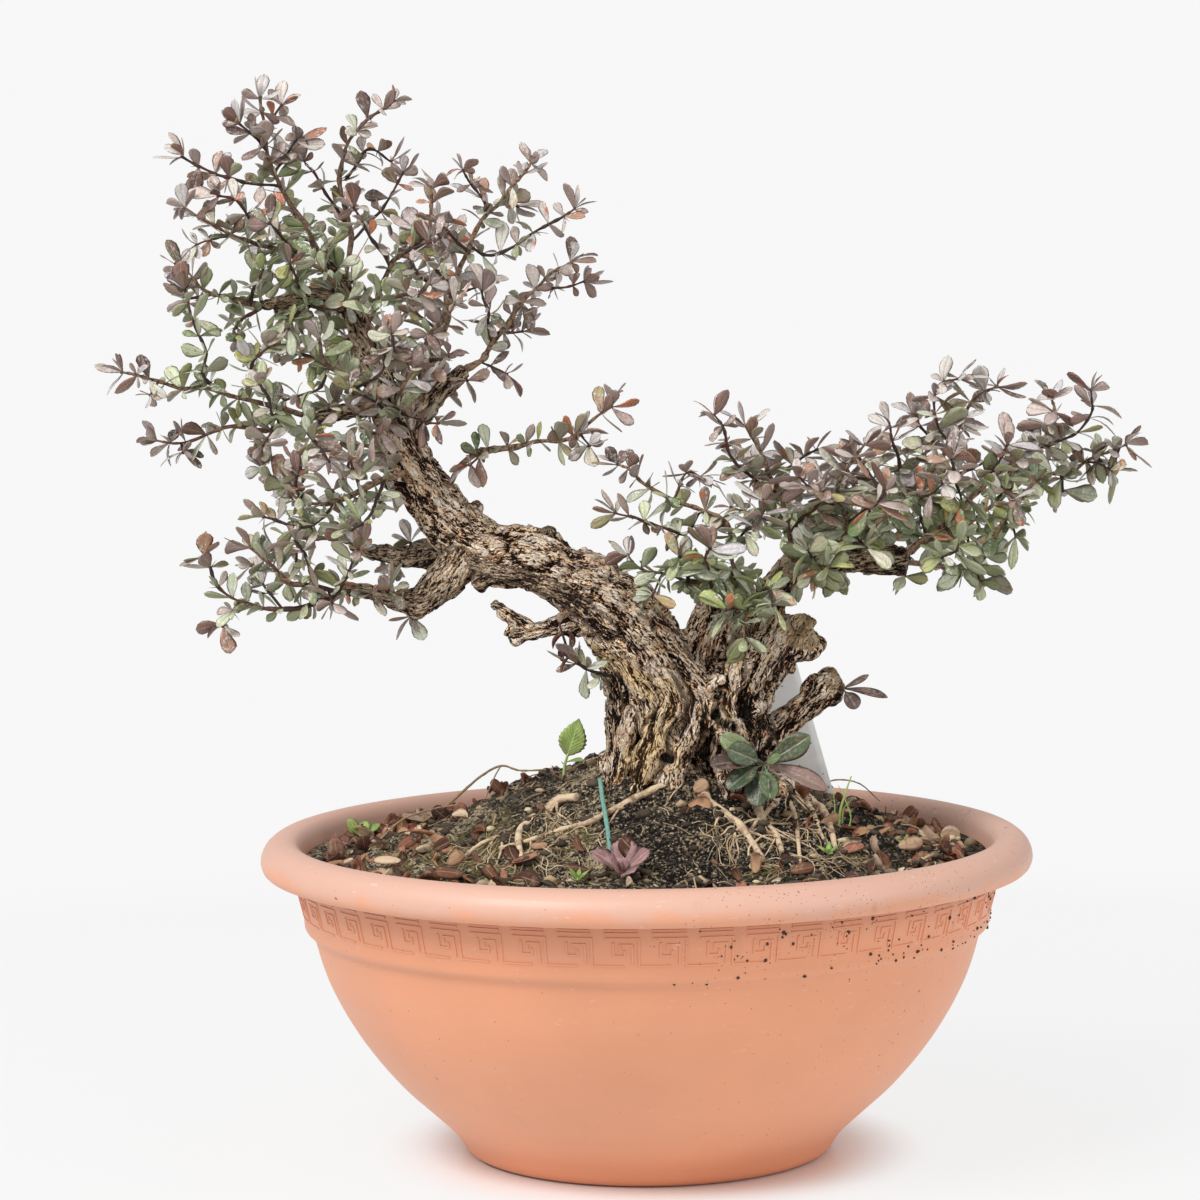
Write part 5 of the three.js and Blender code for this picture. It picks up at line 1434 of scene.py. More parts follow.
def bark_finish(settings):
    """Fibrous bark: plates parted by dark winding cracks along the grain, worn ridges, pale sawn ends,
    painted light and shade on its fibre lumps, painted shade on undersides and in hollows, and a painted
    highlight low on the trunk.
    """
    shader = Shader("bark", Specular_IOR_Level=0.25)
    place = shader.place()
    winding = shader.node("TexNoise", {}, {"Vector": place, "Scale": 230, "Detail": 2}, 1)
    grain = shader.shifted(shader.vector("grain"), winding, 2.4)
    height = shader.value("height")
    fibres = shader.fibres(grain, 0.18, 0.86, 4, 0.75)
    # Painted light and shade: fibre lumps lit on one side and shaded on the other, added to the colour level.
    painted_light = shader.painted_light(shader.stretch(grain, (1, 1, 0.26)), 0.9, (-0.38, -0.38, 0.18), 3)
    strings = abs(shader.fibres(grain, 0.13, 0.55, 3, 0.6) - 0.5).step(0.03, 0.0)
    plates = abs(shader.fibres(grain, 0.22, 0.21, 2) - 0.5).step(0.0, 0.03)
    chips = abs(shader.fibres(grain, 0.3, 0.75, 2) - 0.5).step(0.0, 0.05)
    patch = shader.cloud(place, 36, 4, 0.6)
    ridges = shader.fibres(grain, 0.12, 0.27, 2) + patch * 0.6
    # The height attribute also brings painted shade on the downward-facing undersides into the level.
    level = height * 1.05 + fibres * 2.3 + painted_light * 2.8 + ridges * 0.8 + plates * 0.28 + chips * 0.34 - 2.52
    across, up = place.part(0), place.part(2)
    # Darker low on the trunk's left side.
    darker_low_left = up.step(0.27, 0.23) * across.step(0.04, 0.0)
    level = level + strings * fibres.step(0.45, 0.6) * 0.16 - darker_low_left * 0.06
    # Painted highlight: a patch of the lower trunk is lifted towards the pale ridge colour.
    wear_and_painted_highlight = across.step(-0.02, 0.0) * across.step(0.055, 0.035) * up.step(0.255, 0.272) * up.step(0.3, 0.283)
    level = level + wear_and_painted_highlight * 0.08
    wood = shader.ramp(level, (0.2, settings.bark_dark), (0.32, "4A3022"),
        (0.43, settings.bark_middle), (0.53, settings.bark_light), (0.65, "FFEED8"))
    grey = shader.cloud(place, 26, 3).step(0.5, 0.68)
    wood = shader.mix(grey * 0.12, wood, shader.ramp(level, (0.08, "2E2823"), (0.6, "D0C8BA")))
    hue = shader.fibres(grain, 0.3, 0.38, 3, 0.65)
    wood = shader.mix(hue.step(0.49, 0.6) * 0.55, wood, shader.ramp(level, (0.2, "26120A"),
        (0.42, "B47038"), (0.62, "FFD29A")))
    wood = shader.mix(hue.step(0.48, 0.36) * 0.28, wood, shader.ramp(level, (0.2, "1C1612"),
        (0.42, "8E7E70"), (0.62, "FAF2E8")))
    rust = shader.cloud(place, 70, 3).step(0.56, 0.7)
    wood = shader.mix(rust * 0.4, wood, shader.ramp(level, (0.1, "3A2014"), (0.5, "B06A38")))
    gold = shader.value("gold") * (patch + fibres * 0.5).step(0.4, 0.9)
    wood = shader.mix(gold * 0.85, wood, shader.ramp(level, (0.2, "34200E"), (0.4, "B88448"),
        (0.62, "FFE0A8")))
    young = shader.ramp(level, (0.1, "221814"), (0.42, "765D48"), (0.8, "C8B092"))
    wood = shader.mix(shader.value("young"), wood, young)
    cut = shader.value("cut")
    pores = shader.cells(place, 420).step(0.2, 0.34)
    fresh = shader.mix(pores * fibres.step(0.3, 0.5), "4B3727", "C9AC83")
    wood = shader.mix(cut.step(0.35, 0.65) * 0.75, wood, fresh)
    # Painted shade: knot holes and the hollows of the gnarled foot are darkened nearly to black.
    painted_recess_shade = (shader.value("pit") + (patch - 0.5) * 0.8 - fibres.step(0.4, 0.7) * 0.3).step(0.1, 0.7)
    wood = shader.mix(painted_recess_shade * 0.9, wood, "1A110C")
    relief = shader.bump(plates * 0.8 + chips * 0.6 + fibres * 1.3 + strings * 0.4, 0.0013, 1.0)
    return shader.finish(Base_Color=wood, Roughness=height.step(0.0, 1.0, 0.95, 0.72), Normal=relief)


def root_finish(settings):
    """Bare roots: pale and fibrous with darker soil stains."""
    shader = Shader("bare roots", Roughness=0.8, Specular_IOR_Level=0.3)
    place = shader.place()
    stains = shader.cloud(place, 150, 4, 0.6)
    fine = shader.cloud(place, 900, 3)
    wood = shader.mix(stains.step(0.42, 0.66), settings.root_colour, "7A5B44")
    wood = shader.mix(fine.step(0.5, 0.7) * 0.5, wood, "E3CDB2")
    return shader.finish(Base_Color=wood, Normal=shader.bump(fine + stains, 0.0006, 0.8))


def ball(centre, reach, rough, seed):
    """Lumpy ball on a grid of turn and tilt: centre + r(1 + rough noise)(cos t cos a, cos t sin a, sin t)."""
    turn = np.linspace(0, 2 * np.pi, 14, endpoint=False)[None]
    tilt = np.linspace(-1.2, 1.2, 8)[:, None]
    out = np.stack([np.cos(tilt) * np.cos(turn), np.cos(tilt) * np.sin(turn), np.sin(tilt) + 0 * turn], -1)
    lump = reach * (1 + rough * noise(out * reach, reach * 0.8, seed))
    rings = np.array(centre, float) + out * lump[..., None]
    first, last = (np.array(centre, float) + [0, 0, way * reach] for way in (-1, 1))
    return closed_rings(rings, first, last)


def point_normals(points, quads):
    """Normal of each point: the sum of its faces' diagonals' cross products."""
    a, b, c, d = (points[quads[:, k]] for k in range(4))
    across = np.cross(c - a, d - b)
    total = np.zeros_like(points)
    for axis in range(3):
        pull = np.repeat(across[:, axis], 4)
        total[:, axis] = np.bincount(quads.ravel(), pull, len(points))
    return unit(total)


def relaxed(points, quads, times):
    """Each point moved half way to the mean of its neighbours, a number of times."""
    first = quads.ravel()
    second = np.roll(quads, -1, axis=1).ravel()
    many = np.bincount(first, minlength=len(points)) + np.bincount(second, minlength=len(points))
    for _ in range(times):
        mean = np.stack([np.bincount(first, points[second, k], len(points))
            + np.bincount(second, points[first, k], len(points)) for k in range(3)], -1) / many[:, None]
        points = points + 0.5 * (mean - points)
    return points


def grain_of(points):
    """Grain coordinates (r cos a, r sin a, s) of the nearest limb, turning slowly, and its radius."""
    best = np.full(len(points), 1e9)
    grain = np.zeros_like(points)
    radius = np.zeros(len(points))
    for number, limb in enumerate([*LIMBS.values(), *SINEWS]):
        steps = (len(limb) - 1) * 5
        path, radii = along(limb)
        place, tangent, side, other = frames_along(path, steps)
        reach = between(radii, np.linspace(0, 1, steps + 1))
        way = walked(place)
        gaps = np.stack([((points - p) ** 2).sum(-1) for p in place])
        k = gaps.argmin(0)
        gap = np.sqrt(gaps[k, np.arange(len(points))]) - reach[k]
        near = gap < best
        best[near] = gap[near]
        k = k[near]
        off = points[near] - place[k]
        s = way[k] + (off * tangent[k]).sum(-1)
        turn = np.arctan2((off * other[k]).sum(-1), (off * side[k]).sum(-1)) + 0.012 * s
        r = reach[k]
        grain[near] = np.stack([r * np.cos(turn), r * np.sin(turn), s + 60.0 * number], -1)
        radius[near] = r
    return grain, radius


def furrow(trunk, points, quads, settings):
    """Moves each point along its normal: plates between cracks, crust, knots and sawn ends."""
    normal = point_normals(points, quads)
    grain, radius = grain_of(points)
    bent = grain + 2.2 * drift(points, 9, 71)
    thick = np.minimum(radius / 20, 1)
    plates = smooth(0.0, 0.24, np.abs(noise(bent, (7.5, 7.5, 30), 74)))
    chips = smooth(0.0, 0.3, np.abs(noise(bent, (3.8, 3.8, 10), 76)))
    knobs = noise(points, 12, 78) + 0.6 * noise(points, 6, 79)
    lumps = smooth(0.0, 0.4, np.abs(noise(bent, (7, 7, 17), 80)))
    gnarled = smooth(34, 20, np.linalg.norm((points - [50, -18, 216]) * [1, 1, 0.75], axis=-1))
    depth = settings.furrow_depth / MM * thick ** 0.7
    push = depth * (0.95 * plates + 0.6 * chips - 1.1) + 1.5 * thick * knobs
    push += 0.45 * noise(points, 2.6, 82)
    crust = np.abs(noise(points, 3.4, 86)) + 0.5 * np.abs(noise(points, 1.9, 87))
    push += gnarled * (2.4 * lumps + 1.7 * crust - 3.0)
    cut = np.zeros(len(points))
    for centre, way, reach in SAWN_ENDS:
        way = unit(np.array(way, float))
        off = points - np.array(centre, float)
        flat = smooth(0.35, 0.8, normal @ way)
        cut = np.maximum(cut, flat * smooth(reach * 1.5, reach * 1.2, np.linalg.norm(off, axis=-1)))
    # Painted shade in the knot holes and between the lumps of the gnarled foot, carried to the bark's colour.
    pit = np.zeros(len(points))
    gold = np.max([smooth(8, 3, np.linalg.norm(points - p, axis=-1)) for p in rib_points()], axis=0)
    strayed = points + 1.4 * drift(points, 7, 84)
    for x, y, z, reach in KNOTS:
        off = np.linalg.norm((strayed - np.array([x, y, z])) * [1, 0.4, 1], axis=-1) / reach
        hole = smooth(0.85, 0.4, off)
        ring = np.exp(-((off - 1.25) / 0.4) ** 2)
        push += 1.6 * ring - 3.6 * hole
        pit = np.maximum(pit, hole)
        gold = np.maximum(gold, 0.8 * ring)
    pit = np.maximum(pit, gnarled * (1 - lumps) * 0.9)
    # The height is lowered on undersides that face down, a painted shade carried to the bark's colour.
    height = 0.1 + 0.46 * plates + 0.26 * chips + 0.12 * knobs
    height += gnarled * (0.3 * lumps + 0.35 * crust - 0.5) - 0.22 * smooth(0.1, 0.9, -normal[:, 2])
    young = smooth(14, 6.5, radius) * smooth(278, 292, points[:, 2]) * 0.85
    trunk.add(points + normal * push[:, None], [quads], grain=grain, height=np.clip(height, 0, 1),
        cut=cut, pit=pit * 0.9, gold=gold, young=young)


def rib_points():
    """Points along the golden ribs that run into the ground at the front."""
    return np.vstack([curve_through(path, 16)[0] for path in GOLDEN_RIBS])


def root_shapes():
    """The exposed roots and finer rootlets that branch from them down the mound."""
    roots = Piece()
    for number, root in enumerate(ROOTS):
        lying = np.array(root[2:], float)
        lying[3:, 2] = np.maximum(lying[3:, 2], ground(lying[3:, 0], lying[3:, 1]) + 0.5 * root[1])
        roots.add(*bar(lying, root[:2], 9, (len(root) - 3) * 9, 0.22, number))
    for n in range(44):
        root = ROOTS[n % len(ROOTS)]
        start = np.array(root[3 + int(chance(n, 1, 61) * (len(root) - 4))], float)
        heading = -np.pi / 2 + (chance(n, 2, 62) - 0.5) * 2.4
        way = np.array([np.cos(heading), np.sin(heading)])
        path = [start]
        for step in range(1, 5):
            turn = (chance(n, step, 63) - 0.5) * 1.3
            c, s = np.cos(turn), np.sin(turn)
            way = np.array([way[0] * c - way[1] * s, way[0] * s + way[1] * c])
            xy = path[-1][:2] + way * (4 + 7 * chance(n, step, 64))
            path.append(np.array([*xy, float(ground(*xy)) + 0.9 * chance(n, step, 65)]))
        roots.add(*bar(path, [0.4 + 0.5 * chance(n, 9, 66), 0.24], 5, 24, 0.2, n))
    return roots


class BONSAI_OT_trunk(bpy.types.Operator):
    """Join the limbs, sinews and root flare into one skin and furrow it with bark along the grain"""

    bl_idname = "bonsai.trunk"
    bl_label = "Trunk, stumps and roots"

    def execute(self, context):
        settings = context.scene.bonsai_wood
        rough = Piece()
        for name, limb in LIMBS.items():
            sides = 28 if limb[0][3] > 9 else 14
            path, radii = along(limb)
            rough.add(*bar(path, [r * 0.985 for r in radii], sides, len(limb) * 6, 0.08, len(name)))
        for number, sinew in enumerate(SINEWS):
            rough.add(*bar(*along(sinew), 12, len(sinew) * 6, 0.25, number))
        for number, root in enumerate(ROOTS):
            if root[2][1] > -20:
                rough.add(*bar(root[2:5], [root[0] * 1.2, root[0]], 8, 8, 0.1, number))
        for number, (x, y, z, reach) in enumerate(BURLS):
            rough.add(*ball([x, y, z], reach, 0.3, number))
        skin = rough.make("rough_wood", [])
        join = skin.modifiers.new("join", "REMESH")
        join.mode = "VOXEL"
        join.voxel_size = settings.skin_size
        settle(skin)
        mesh = skin.data
        points = np.empty(len(mesh.vertices) * 3)
        mesh.vertices.foreach_get("co", points)
        points = points.reshape(-1, 3) / MM
        quads = np.empty(len(mesh.loops), np.int32)
        mesh.loops.foreach_get("vertex_index", quads)
        quads = quads.reshape(-1, 4)
        bpy.data.objects.remove(skin)
        trunk = Piece()
        furrow(trunk, relaxed(points, quads, 5), quads, settings)
        put(trunk.make("trunk_wood", [bark_finish(settings)]), "bark", "trunk")
        put(root_shapes().make("bare_roots", [root_finish(settings)]), "bark")
        return {"FINISHED"}


def leaf_finish(settings):
    """Barberry leaf: purple or green by its tuft, brown margin, pale rib, turned blotches, water marks that
    also paint a sheen, and painted shade on the undersides.
    """
    shader = Shader("barberry leaf", Specular_IOR_Level=0.6)
    place = shader.vector("leaf_place")
    kind = shader.vector("leaf_kind")
    spot = shader.place()
    green_share, turned, luck = kind.part(0), kind.part(1), kind.part(2)
    blotch = shader.cloud(spot, 130, 4, 0.6)
    purple = shader.ramp(luck, (0.0, "44322F"), (0.14, "806056"), (0.34, settings.purple),
        (0.6, "E0D8D0"), (0.76, "BEB8BC"), (0.9, "AE8672"), (1.0, "C08C6A"))
    purple = shader.mix(blotch.step(0.5, 0.68) * 0.5, purple, "96705F")
    green = shader.ramp(luck, (0.0, "44563C"), (0.15, "6C824C"), (0.36, settings.green),
        (0.6, "D4DABC"), (0.76, "ACB298"), (0.92, "ACB862"), (1.0, "CCB870"))
    green = shader.mix(blotch.step(0.52, 0.7) * 0.45, green, "96805E")
    leaf = shader.mix((green_share + (blotch - 0.5) * 0.6).step(0.3, 0.62), purple, green)
    # Painted shade: the undersides of the leaves are darkened to brown or dull green.
    under = place.part(2).step(0.2, -0.5)
    leaf = shader.mix(under * 0.65, leaf, shader.mix(green_share.step(0.3, 0.7), "7C584C", "8A9168"))
    across = abs(place.part(1))
    rib = across.step(0.13, 0.03)
    leaf = shader.mix(rib * 0.35, leaf, "B9B4A4")
    margin = across.step(0.78, 1.0) * 0.75
    leaf = shader.mix(margin, leaf, "553830")
    fire = (turned + (blotch - 0.5) * 0.3).step(0.965, 0.99)
    leaf = shader.mix(fire * 0.85, leaf, settings.turned)
    burnt = shader.cloud(spot, 260, 3).step(0.66, 0.74) * turned.step(0.2, 0.5)
    leaf = shader.mix(burnt * 0.75, leaf, "59402F")
    # Dried water marks that also paint a pale sheen on the upper sides of the leaves.
    water_marks_and_sheen = shader.cloud(spot, 480, 5, 0.75).step(0.5, 0.62) * shader.cloud(spot, 75, 2).step(0.32, 0.58)
    leaf = shader.mix(water_marks_and_sheen * (1 - under) * shader.value("dusty") * 0.78, leaf, settings.dust)
    rough = water_marks_and_sheen.step(0.0, 1.0, 0.28, 0.65)
    veins = shader.cloud(shader.stretch(place, (9, 2.2, 0)), 1.6, 3)
    leaf = shader.mix(veins.step(0.5, 0.62) * 0.16, leaf, "4A443A")
    return shader.finish(Base_Color=leaf, Roughness=rough,
        Normal=shader.bump(veins + blotch * 0.8 - rib * 0.5, 0.0006, 0.8))


def twig_finish(settings):
    """Thin twigs: near black to red brown, with paler scuffs along them."""
    shader = Shader("twig bark", Roughness=0.72, Specular_IOR_Level=0.35)
    place = shader.place()
    fine = shader.cloud(place, 500, 4, 0.65)
    red = shader.cloud(place, 60, 2)
    bark = shader.mix(red.step(0.4, 0.66), settings.twig, "5B3A30")
    bark = shader.mix(fine.step(0.55, 0.72) * 0.5, bark, "7F6A5E")
    bark = shader.mix(shader.value("old").step(0.5, 1.4) * fine.step(0.35, 0.6), bark, "9A7E63")
    return shader.finish(Base_Color=bark, Normal=shader.bump(fine, 0.0007, 0.9))


def leaf_rows(path, number, is_main, gap):
    """Where the tufts of a twig stand: point, tangent, side, other and count of each, from the tip down."""
    place, tangent, side, other = frames_along(path[2:], TWIG_STEPS)
    way = walked(place)
    total = way[-1]
    tufts = np.arange(int(total * (0.78 if is_main else 0.9) / gap) + 1)
    index = np.searchsorted(way, total - tufts * gap)
    index = np.where(tufts == 0, TWIG_STEPS, np.minimum(index, TWIG_STEPS))
    foot = np.where(tufts[:, None] == 0, place[index] - tangent[index] * 1.2, place[index])
    share_along = 1 - way[index] / total
    numbers = np.full(len(tufts), float(number))
    return foot, tangent[index], side[index], other[index], numbers, tufts, share_along


def grow_leaves(piece, rows, settings):
    """Tufts of leaves: leaf i of tuft j leans out from the twig, least at the tip, and lifts to the light."""
    foot, tangent, side, other, number, tuft, _ = (np.concatenate(part) for part in zip(*rows))
    at_tip = tuft == 0
    on_pad = foot[:, 0] > 20
    many = np.where(at_tip, 6, 3 + 2 * on_pad + np.floor(2.8 * chance(number, tuft, 5))).astype(int)
    row = np.repeat(np.arange(len(many)), many)
    i = np.arange(len(row)) - np.repeat(np.cumsum(many) - many, many)
    n, j = number[row], tuft[row]
    tip = j == 0
    turn = j * TUFT_TURN + i * LEAF_TURN + chance(n, j, 1) * FULL_TURN
    lean = np.where(tip, 0.35, 0.85) + 0.5 * chance(n, j, 40 + i)
    lean = lean + np.where(i > 1, 0.25 + 0.75 * chance(n, j, 240 + i), 0)
    out = side[row] * np.cos(turn)[:, None] + other[row] * np.sin(turn)[:, None]
    reach = tangent[row] * np.cos(lean)[:, None] + out * np.sin(lean)[:, None]
    framed = (i == 0) | (tip & (i == 1))
    reach[:, 2] += np.where(framed, 0.25, 0.55 * chance(n, j, 220 + i) - 0.15)
    longest = settings.leaf_length / MM
    first = (longest - 6.5) + 7 * chance(n, j, 60 + i)
    later = longest * (0.4 + 0.5 * chance(n, j, 60 + i)) * np.where(on_pad[row], 1.28, 1.05)
    length = np.where(framed, first, later)
    layered = on_pad[row] & (foot[row, 2] > 335 + 0.16 * (foot[row, 0] - 120))
    roll = (chance(n, j, 80 + i) - 0.5) * np.where(framed | layered, 1.8, 3.4)
    reach[:, 2] *= np.where(layered & ~framed, 0.55, 1)
    tone = leaf_tone(foot[row], j, n, i)
    luck = chance(n, j, 100 + i)
    width = length * (0.42 + 0.22 * chance(n, j, 120 + i))
    bend = -0.5 + 1.3 * chance(n, j, 140 + i)
    fold = 0.32 * chance(n, j, 160 + i) - 0.02
    shape, faces, place = LEAF.spread(foot[row], unit(reach) * length[:, None], width, roll, bend, fold, 0.4)
    kind = np.stack([tone, chance(n, j, 180 + i), luck * 0.94 + 0.03], -1)
    piece.add(shape, faces, BLADE, leaf_place=place, leaf_kind=LEAF.repeat(kind), dusty=1.0)


def leaf_tone(foot, tuft, number, i):
    """Share of green: older tufts, low places and the inside of the crown are green, the rest purple."""
    pad = smooth(-20, 20, foot[:, 0])
    low_pad = smooth(352, 312, foot[:, 2] - 0.16 * (foot[:, 0] - 120))
    low_crown = 0.42 * smooth(420, 320, foot[:, 2])
    inner = smooth(88, 22, np.linalg.norm((foot - [-178, -6, 430]) * [1, 0.6, 1], axis=-1))
    low = pad * low_pad + (1 - pad) * np.maximum(low_crown, 0.8 * inner)
    old = np.minimum(tuft, 4) * 0.085
    return np.clip(0.1 + old + 0.62 * low + 0.5 * (chance(number, tuft, 200 + i) - 0.5), 0, 1)


def grow_twig(piece, path, rows, number, is_main):
    """A twig as a knobbly bar, swollen at each tuft."""
    foot_r, tip_r, *points = path
    place, _ = curve_through(points, TWIG_STEPS)
    total = np.linalg.norm(np.diff(place, axis=0), axis=1).sum()
    steps = max(int(total / 1.8), 8)
    way = np.linspace(0, 1, steps + 1)
    radii = foot_r + (tip_r - foot_r) * way
    tufts = rows[6]
    swell = np.exp(-(((way[:, None] - (1 - tufts[None])) * total / 1.5) ** 2)).max(1)
    radii = radii * 0.5 + 0.14 + 0.36 * swell
    shape = bar(points, radii, 8 if is_main else 6, steps, 0.16, int(number))
    old = np.full(len(shape[0]), max(foot_r - 1.5, 0) / 1.2)
    piece.add(*shape, TWIG, old=old)


def grow_spines(piece, rows, settings):
    """Three-sided spines beside the tufts: foot, direction leaning to the tip, true length."""
    foot, tangent, side, other, number, tuft, _ = (np.concatenate(part) for part in zip(*rows))
    keep = (chance(number, tuft, 300) < 0.6) | (tuft == 1)
    foot, tangent, side, other = foot[keep], tangent[keep], side[keep], other[keep]
    number, tuft = number[keep], tuft[keep]
    turn = FULL_TURN * chance(number, tuft, 301)
    out = unit(side * np.cos(turn)[:, None] + other * np.sin(turn)[:, None] + tangent * 0.35)
    long = settings.spine_length / MM * (0.7 + 0.3 * chance(number, tuft, 302))
    across = unit(np.cross(out, tangent))
    up = np.cross(out, across)
    corners = [foot + 0.34 * (across * np.cos(a) + up * np.sin(a)) for a in (0, 2.094, 4.189)]
    add_spikes(piece, corners, foot + out * long[:, None])


def spur_shapes(settings):
    """Short tufts straight on the thin limbs: foot at the limb's skin, leaning out at an even turn."""
    spurs = Piece()
    rows = []
    for number, (name, first, last, many) in enumerate(SPURS):
        path, radii = along(LIMBS[name])
        place, tangent, side, other = frames_along(path, 100)
        k = (100 * np.linspace(first, last, many)).astype(int)
        reach = between(radii, k / 100)
        turn = TUFT_TURN * np.arange(many) + 6.28 * chance(float(number), np.arange(many), 501)
        out = side[k] * np.cos(turn)[:, None] + other[k] * np.sin(turn)[:, None]
        foot = place[k] + out * (reach + 1.5)[:, None]
        across = np.cross(out, tangent[k])
        order = np.full(many, float(900 + 20 * number)) + np.arange(many)
        rows.append((foot, out, across, tangent[k], order, np.zeros(many), np.zeros(many)))
        for start, way, r in zip(place[k], out, reach):
            path = [start + way * (r - 2), start + way * (r + 0.2), start + way * (r + 2.2)]
            spurs.add(*bar(path, [1.3, 0.8], 5, 5, 0.3, number))
    grow_leaves(spurs, rows, settings)
    return spurs


def grow_sprouts(finishes):
    """The large single leaves at the foot of the tree and on the sawn stump."""
    for name, bud, leaves, slot in (("basal_sprout", BASAL_BUD, BASAL_LEAVES, "leaf_green"),
            ("stub_sprout", STUB_BUD, STUB_LEAVES, "leaf_purple")):
        sprout = Piece()
        shape = bar(bud, [2.2, 1.2], 8, 16, 0.15, 3)
        sprout.add(*shape, TWIG, old=np.full(len(shape[0]), 0.5))
        plan = np.array(leaves, float)
        many = len(plan)
        n = np.arange(many)
        foot = np.tile(np.array(bud[-1], float), (many, 1)) - unit(plan[:, :3]) * 0.5
        roll = facing(plan[:, :3], [0, -1, 0.5]) + np.where(n % 2 == 1, 0.5, -0.4)
        tones = np.array(BASAL_TONES if name == "basal_sprout" else [[0, 0.02], [0, 0.1], [0.1, 0.04]])
        kind = np.stack([tones[:, 0], np.full(many, 0.4), tones[:, 1]], -1)
        round_ones = plan[:, 0] < 10
        for pattern, own in ((ROUND_LEAF, round_ones), (LARGE_LEAF, ~round_ones)):
            wide = plan[own, 3] * (1.15 if pattern is ROUND_LEAF else 1)
            shape, faces, place = pattern.spread(foot[own], plan[own, :3], wide, roll[own],
                0.2 + 0.3 * chance(n[own], 1, 401), 0.1 + 0.25 * chance(n[own], 2, 402), 0.5)
            kinds = pattern.repeat(kind[own])
            sprout.add(shape, faces, BLADE, leaf_place=place, leaf_kind=kinds, dusty=0.3)
        put(sprout.make(name + "_leaves", finishes), slot, name)


class BONSAI_OT_sprays(bpy.types.Operator):
    """Grow every leafy spray: its twigs with tufts of leaves every few millimetres and spines beside them"""

    bl_idname = "bonsai.sprays"
    bl_label = "Leafy sprays"

    def execute(self, context):
        settings = context.scene.bonsai_foliage
        finishes = [twig_finish(settings), leaf_finish(settings)]
        number = 0
        extra = 1000 + settings.seed
        gap = settings.station_gap / MM
        for name, paths in SPRAYS.items():
            spray = Piece()
            rows = []
            for k, path in enumerate(paths):
                if isinstance(path[2], int):
                    path = [*path[:2], paths[0][2 + path[2]], *path[3:]]
                own = number + k if k < 3 else extra + k
                rows.append(leaf_rows(path, own, k == 0, gap))
                grow_twig(spray, path, rows[-1], own, k == 0)
            number += min(len(paths), 3)
            extra += 10
            grow_spines(spray, rows, settings)
            grow_leaves(spray, rows, settings)
            spray.sway(2.2, 13)
            slot = "leaf_purple" if name in PURPLE_SPRAYS else "leaf_green"
            put(spray.make(name + "_spray", finishes), slot, name)
        put(spur_shapes(settings).make("limb_tufts", finishes), "leaf_green")
        dry = Piece()
        plan = np.array(HANGING_LEAVES)
        shape, faces, place = DRY_LEAF.spread(plan[:, 0:3], plan[:, 3:6] * 1.1, plan[:, 6], plan[:, 7],
            np.full(len(plan), 0.7), np.full(len(plan), 0.5), 0.4)
        tones = np.repeat(plan[:, 8:], 3, axis=1)
        dry.add(shape, faces, BLADE, leaf_place=place, leaf_kind=DRY_LEAF.repeat(tones))
        dry.add(*bar(HANGING_STALK, [0.8, 0.5], 6, 18, 0.3), TWIG)
        put(dry.make("hanging_dry_leaves", [finishes[0], litter_finish(context.scene.bonsai_soil)]), "bark")
        grow_sprouts(finishes)
        return {"FINISHED"}


def weed_finish(name, tint):
    """Soft weed leaf: fresh colour, paler midrib and side veins."""
    shader = Shader(name, Roughness=0.5, Specular_IOR_Level=0.4, Subsurface_Weight=0.08)
    place = shader.vector("leaf_place")
    spot = shader.place()
    blotch = shader.cloud(spot, 160, 3)
    leaf = shader.mix(blotch.step(0.35, 0.7), tinted(tint, 0.72), tinted(tint, 1.3))
    foot = place.part(0).step(0.5, 0.0) * blotch.step(0.3, 0.6)
    leaf = shader.mix(foot * 0.6, leaf, "77775A")
    across = abs(place.part(1))
    rib = across.step(0.1, 0.02)
    leaf = shader.mix(rib * 0.5, leaf, tinted(tint, 2.1, 0.04))
    side_veins = (place.part(0) * 60 - across * 22).math("SINE")
    leaf = shader.mix(side_veins.step(0.7, 1.0) * 0.2, leaf, tinted(tint, 1.8, 0.02))
    return shader.finish(Base_Color=leaf, Normal=shader.bump(side_veins * 0.3 + blotch, 0.0003, 0.7))


def grow_seedling(green):
    """A stem with one toothed leaf and a small seed leaf."""
    seedling = Piece()
    seedling.add(*bar([[-43, 6, 184], [-42, 5, 200], [-40, 3, 207]], [0.9, 0.65], 6, 20, 0.1))
    foot = np.array([[-40.6, 3.6, 205.8]])
    reach = np.array([[6.9, -0.5, 19.5]])
    shape, faces, place = TOOTHED_LEAF.spread(foot, reach, [15.5], [0.12], np.array([0.3]), [0.14], 0.45)
    seedling.add(shape, faces, leaf_place=place)
    foot = np.array([[-41.2, 4.2, 202.5]])
    reach = np.array([[8.5, -4.0, 3.0]])
    shape, faces, place = LARGE_LEAF.spread(foot, reach, [6.5], [0.3], np.array([0.4]), [0.2], 0.4)
    seedling.add(shape, faces, leaf_place=place)
    put(seedling.make("seedling_leaves", [green]), "leaf_bright", "seedling")


def grow_grass(green):
    """One tall blade of grass with three short ones at its foot."""
    grass = Piece()
    path = [[99, -16, 166], [100, -16, 178], [103, -15, 188], [106, -14, 196]]
    grass.add(*bar(path, [0.8, 0.35], 6, 30))
    for n, (x, y) in enumerate(((101, -14), (96, -20), (104, -19))):
        base = float(mound(x, y))
        tip = [x + 5 - 5 * n, y - 3 + n, base + 10 + 5 * n]
        grass.add(*bar([[x, y, base - 3], [x + 1, y, base + 5], tip], [0.55, 0.2], 5, 14))
    put(grass.make("grass_blades", [green]), "leaf_bright", "grass_blade")


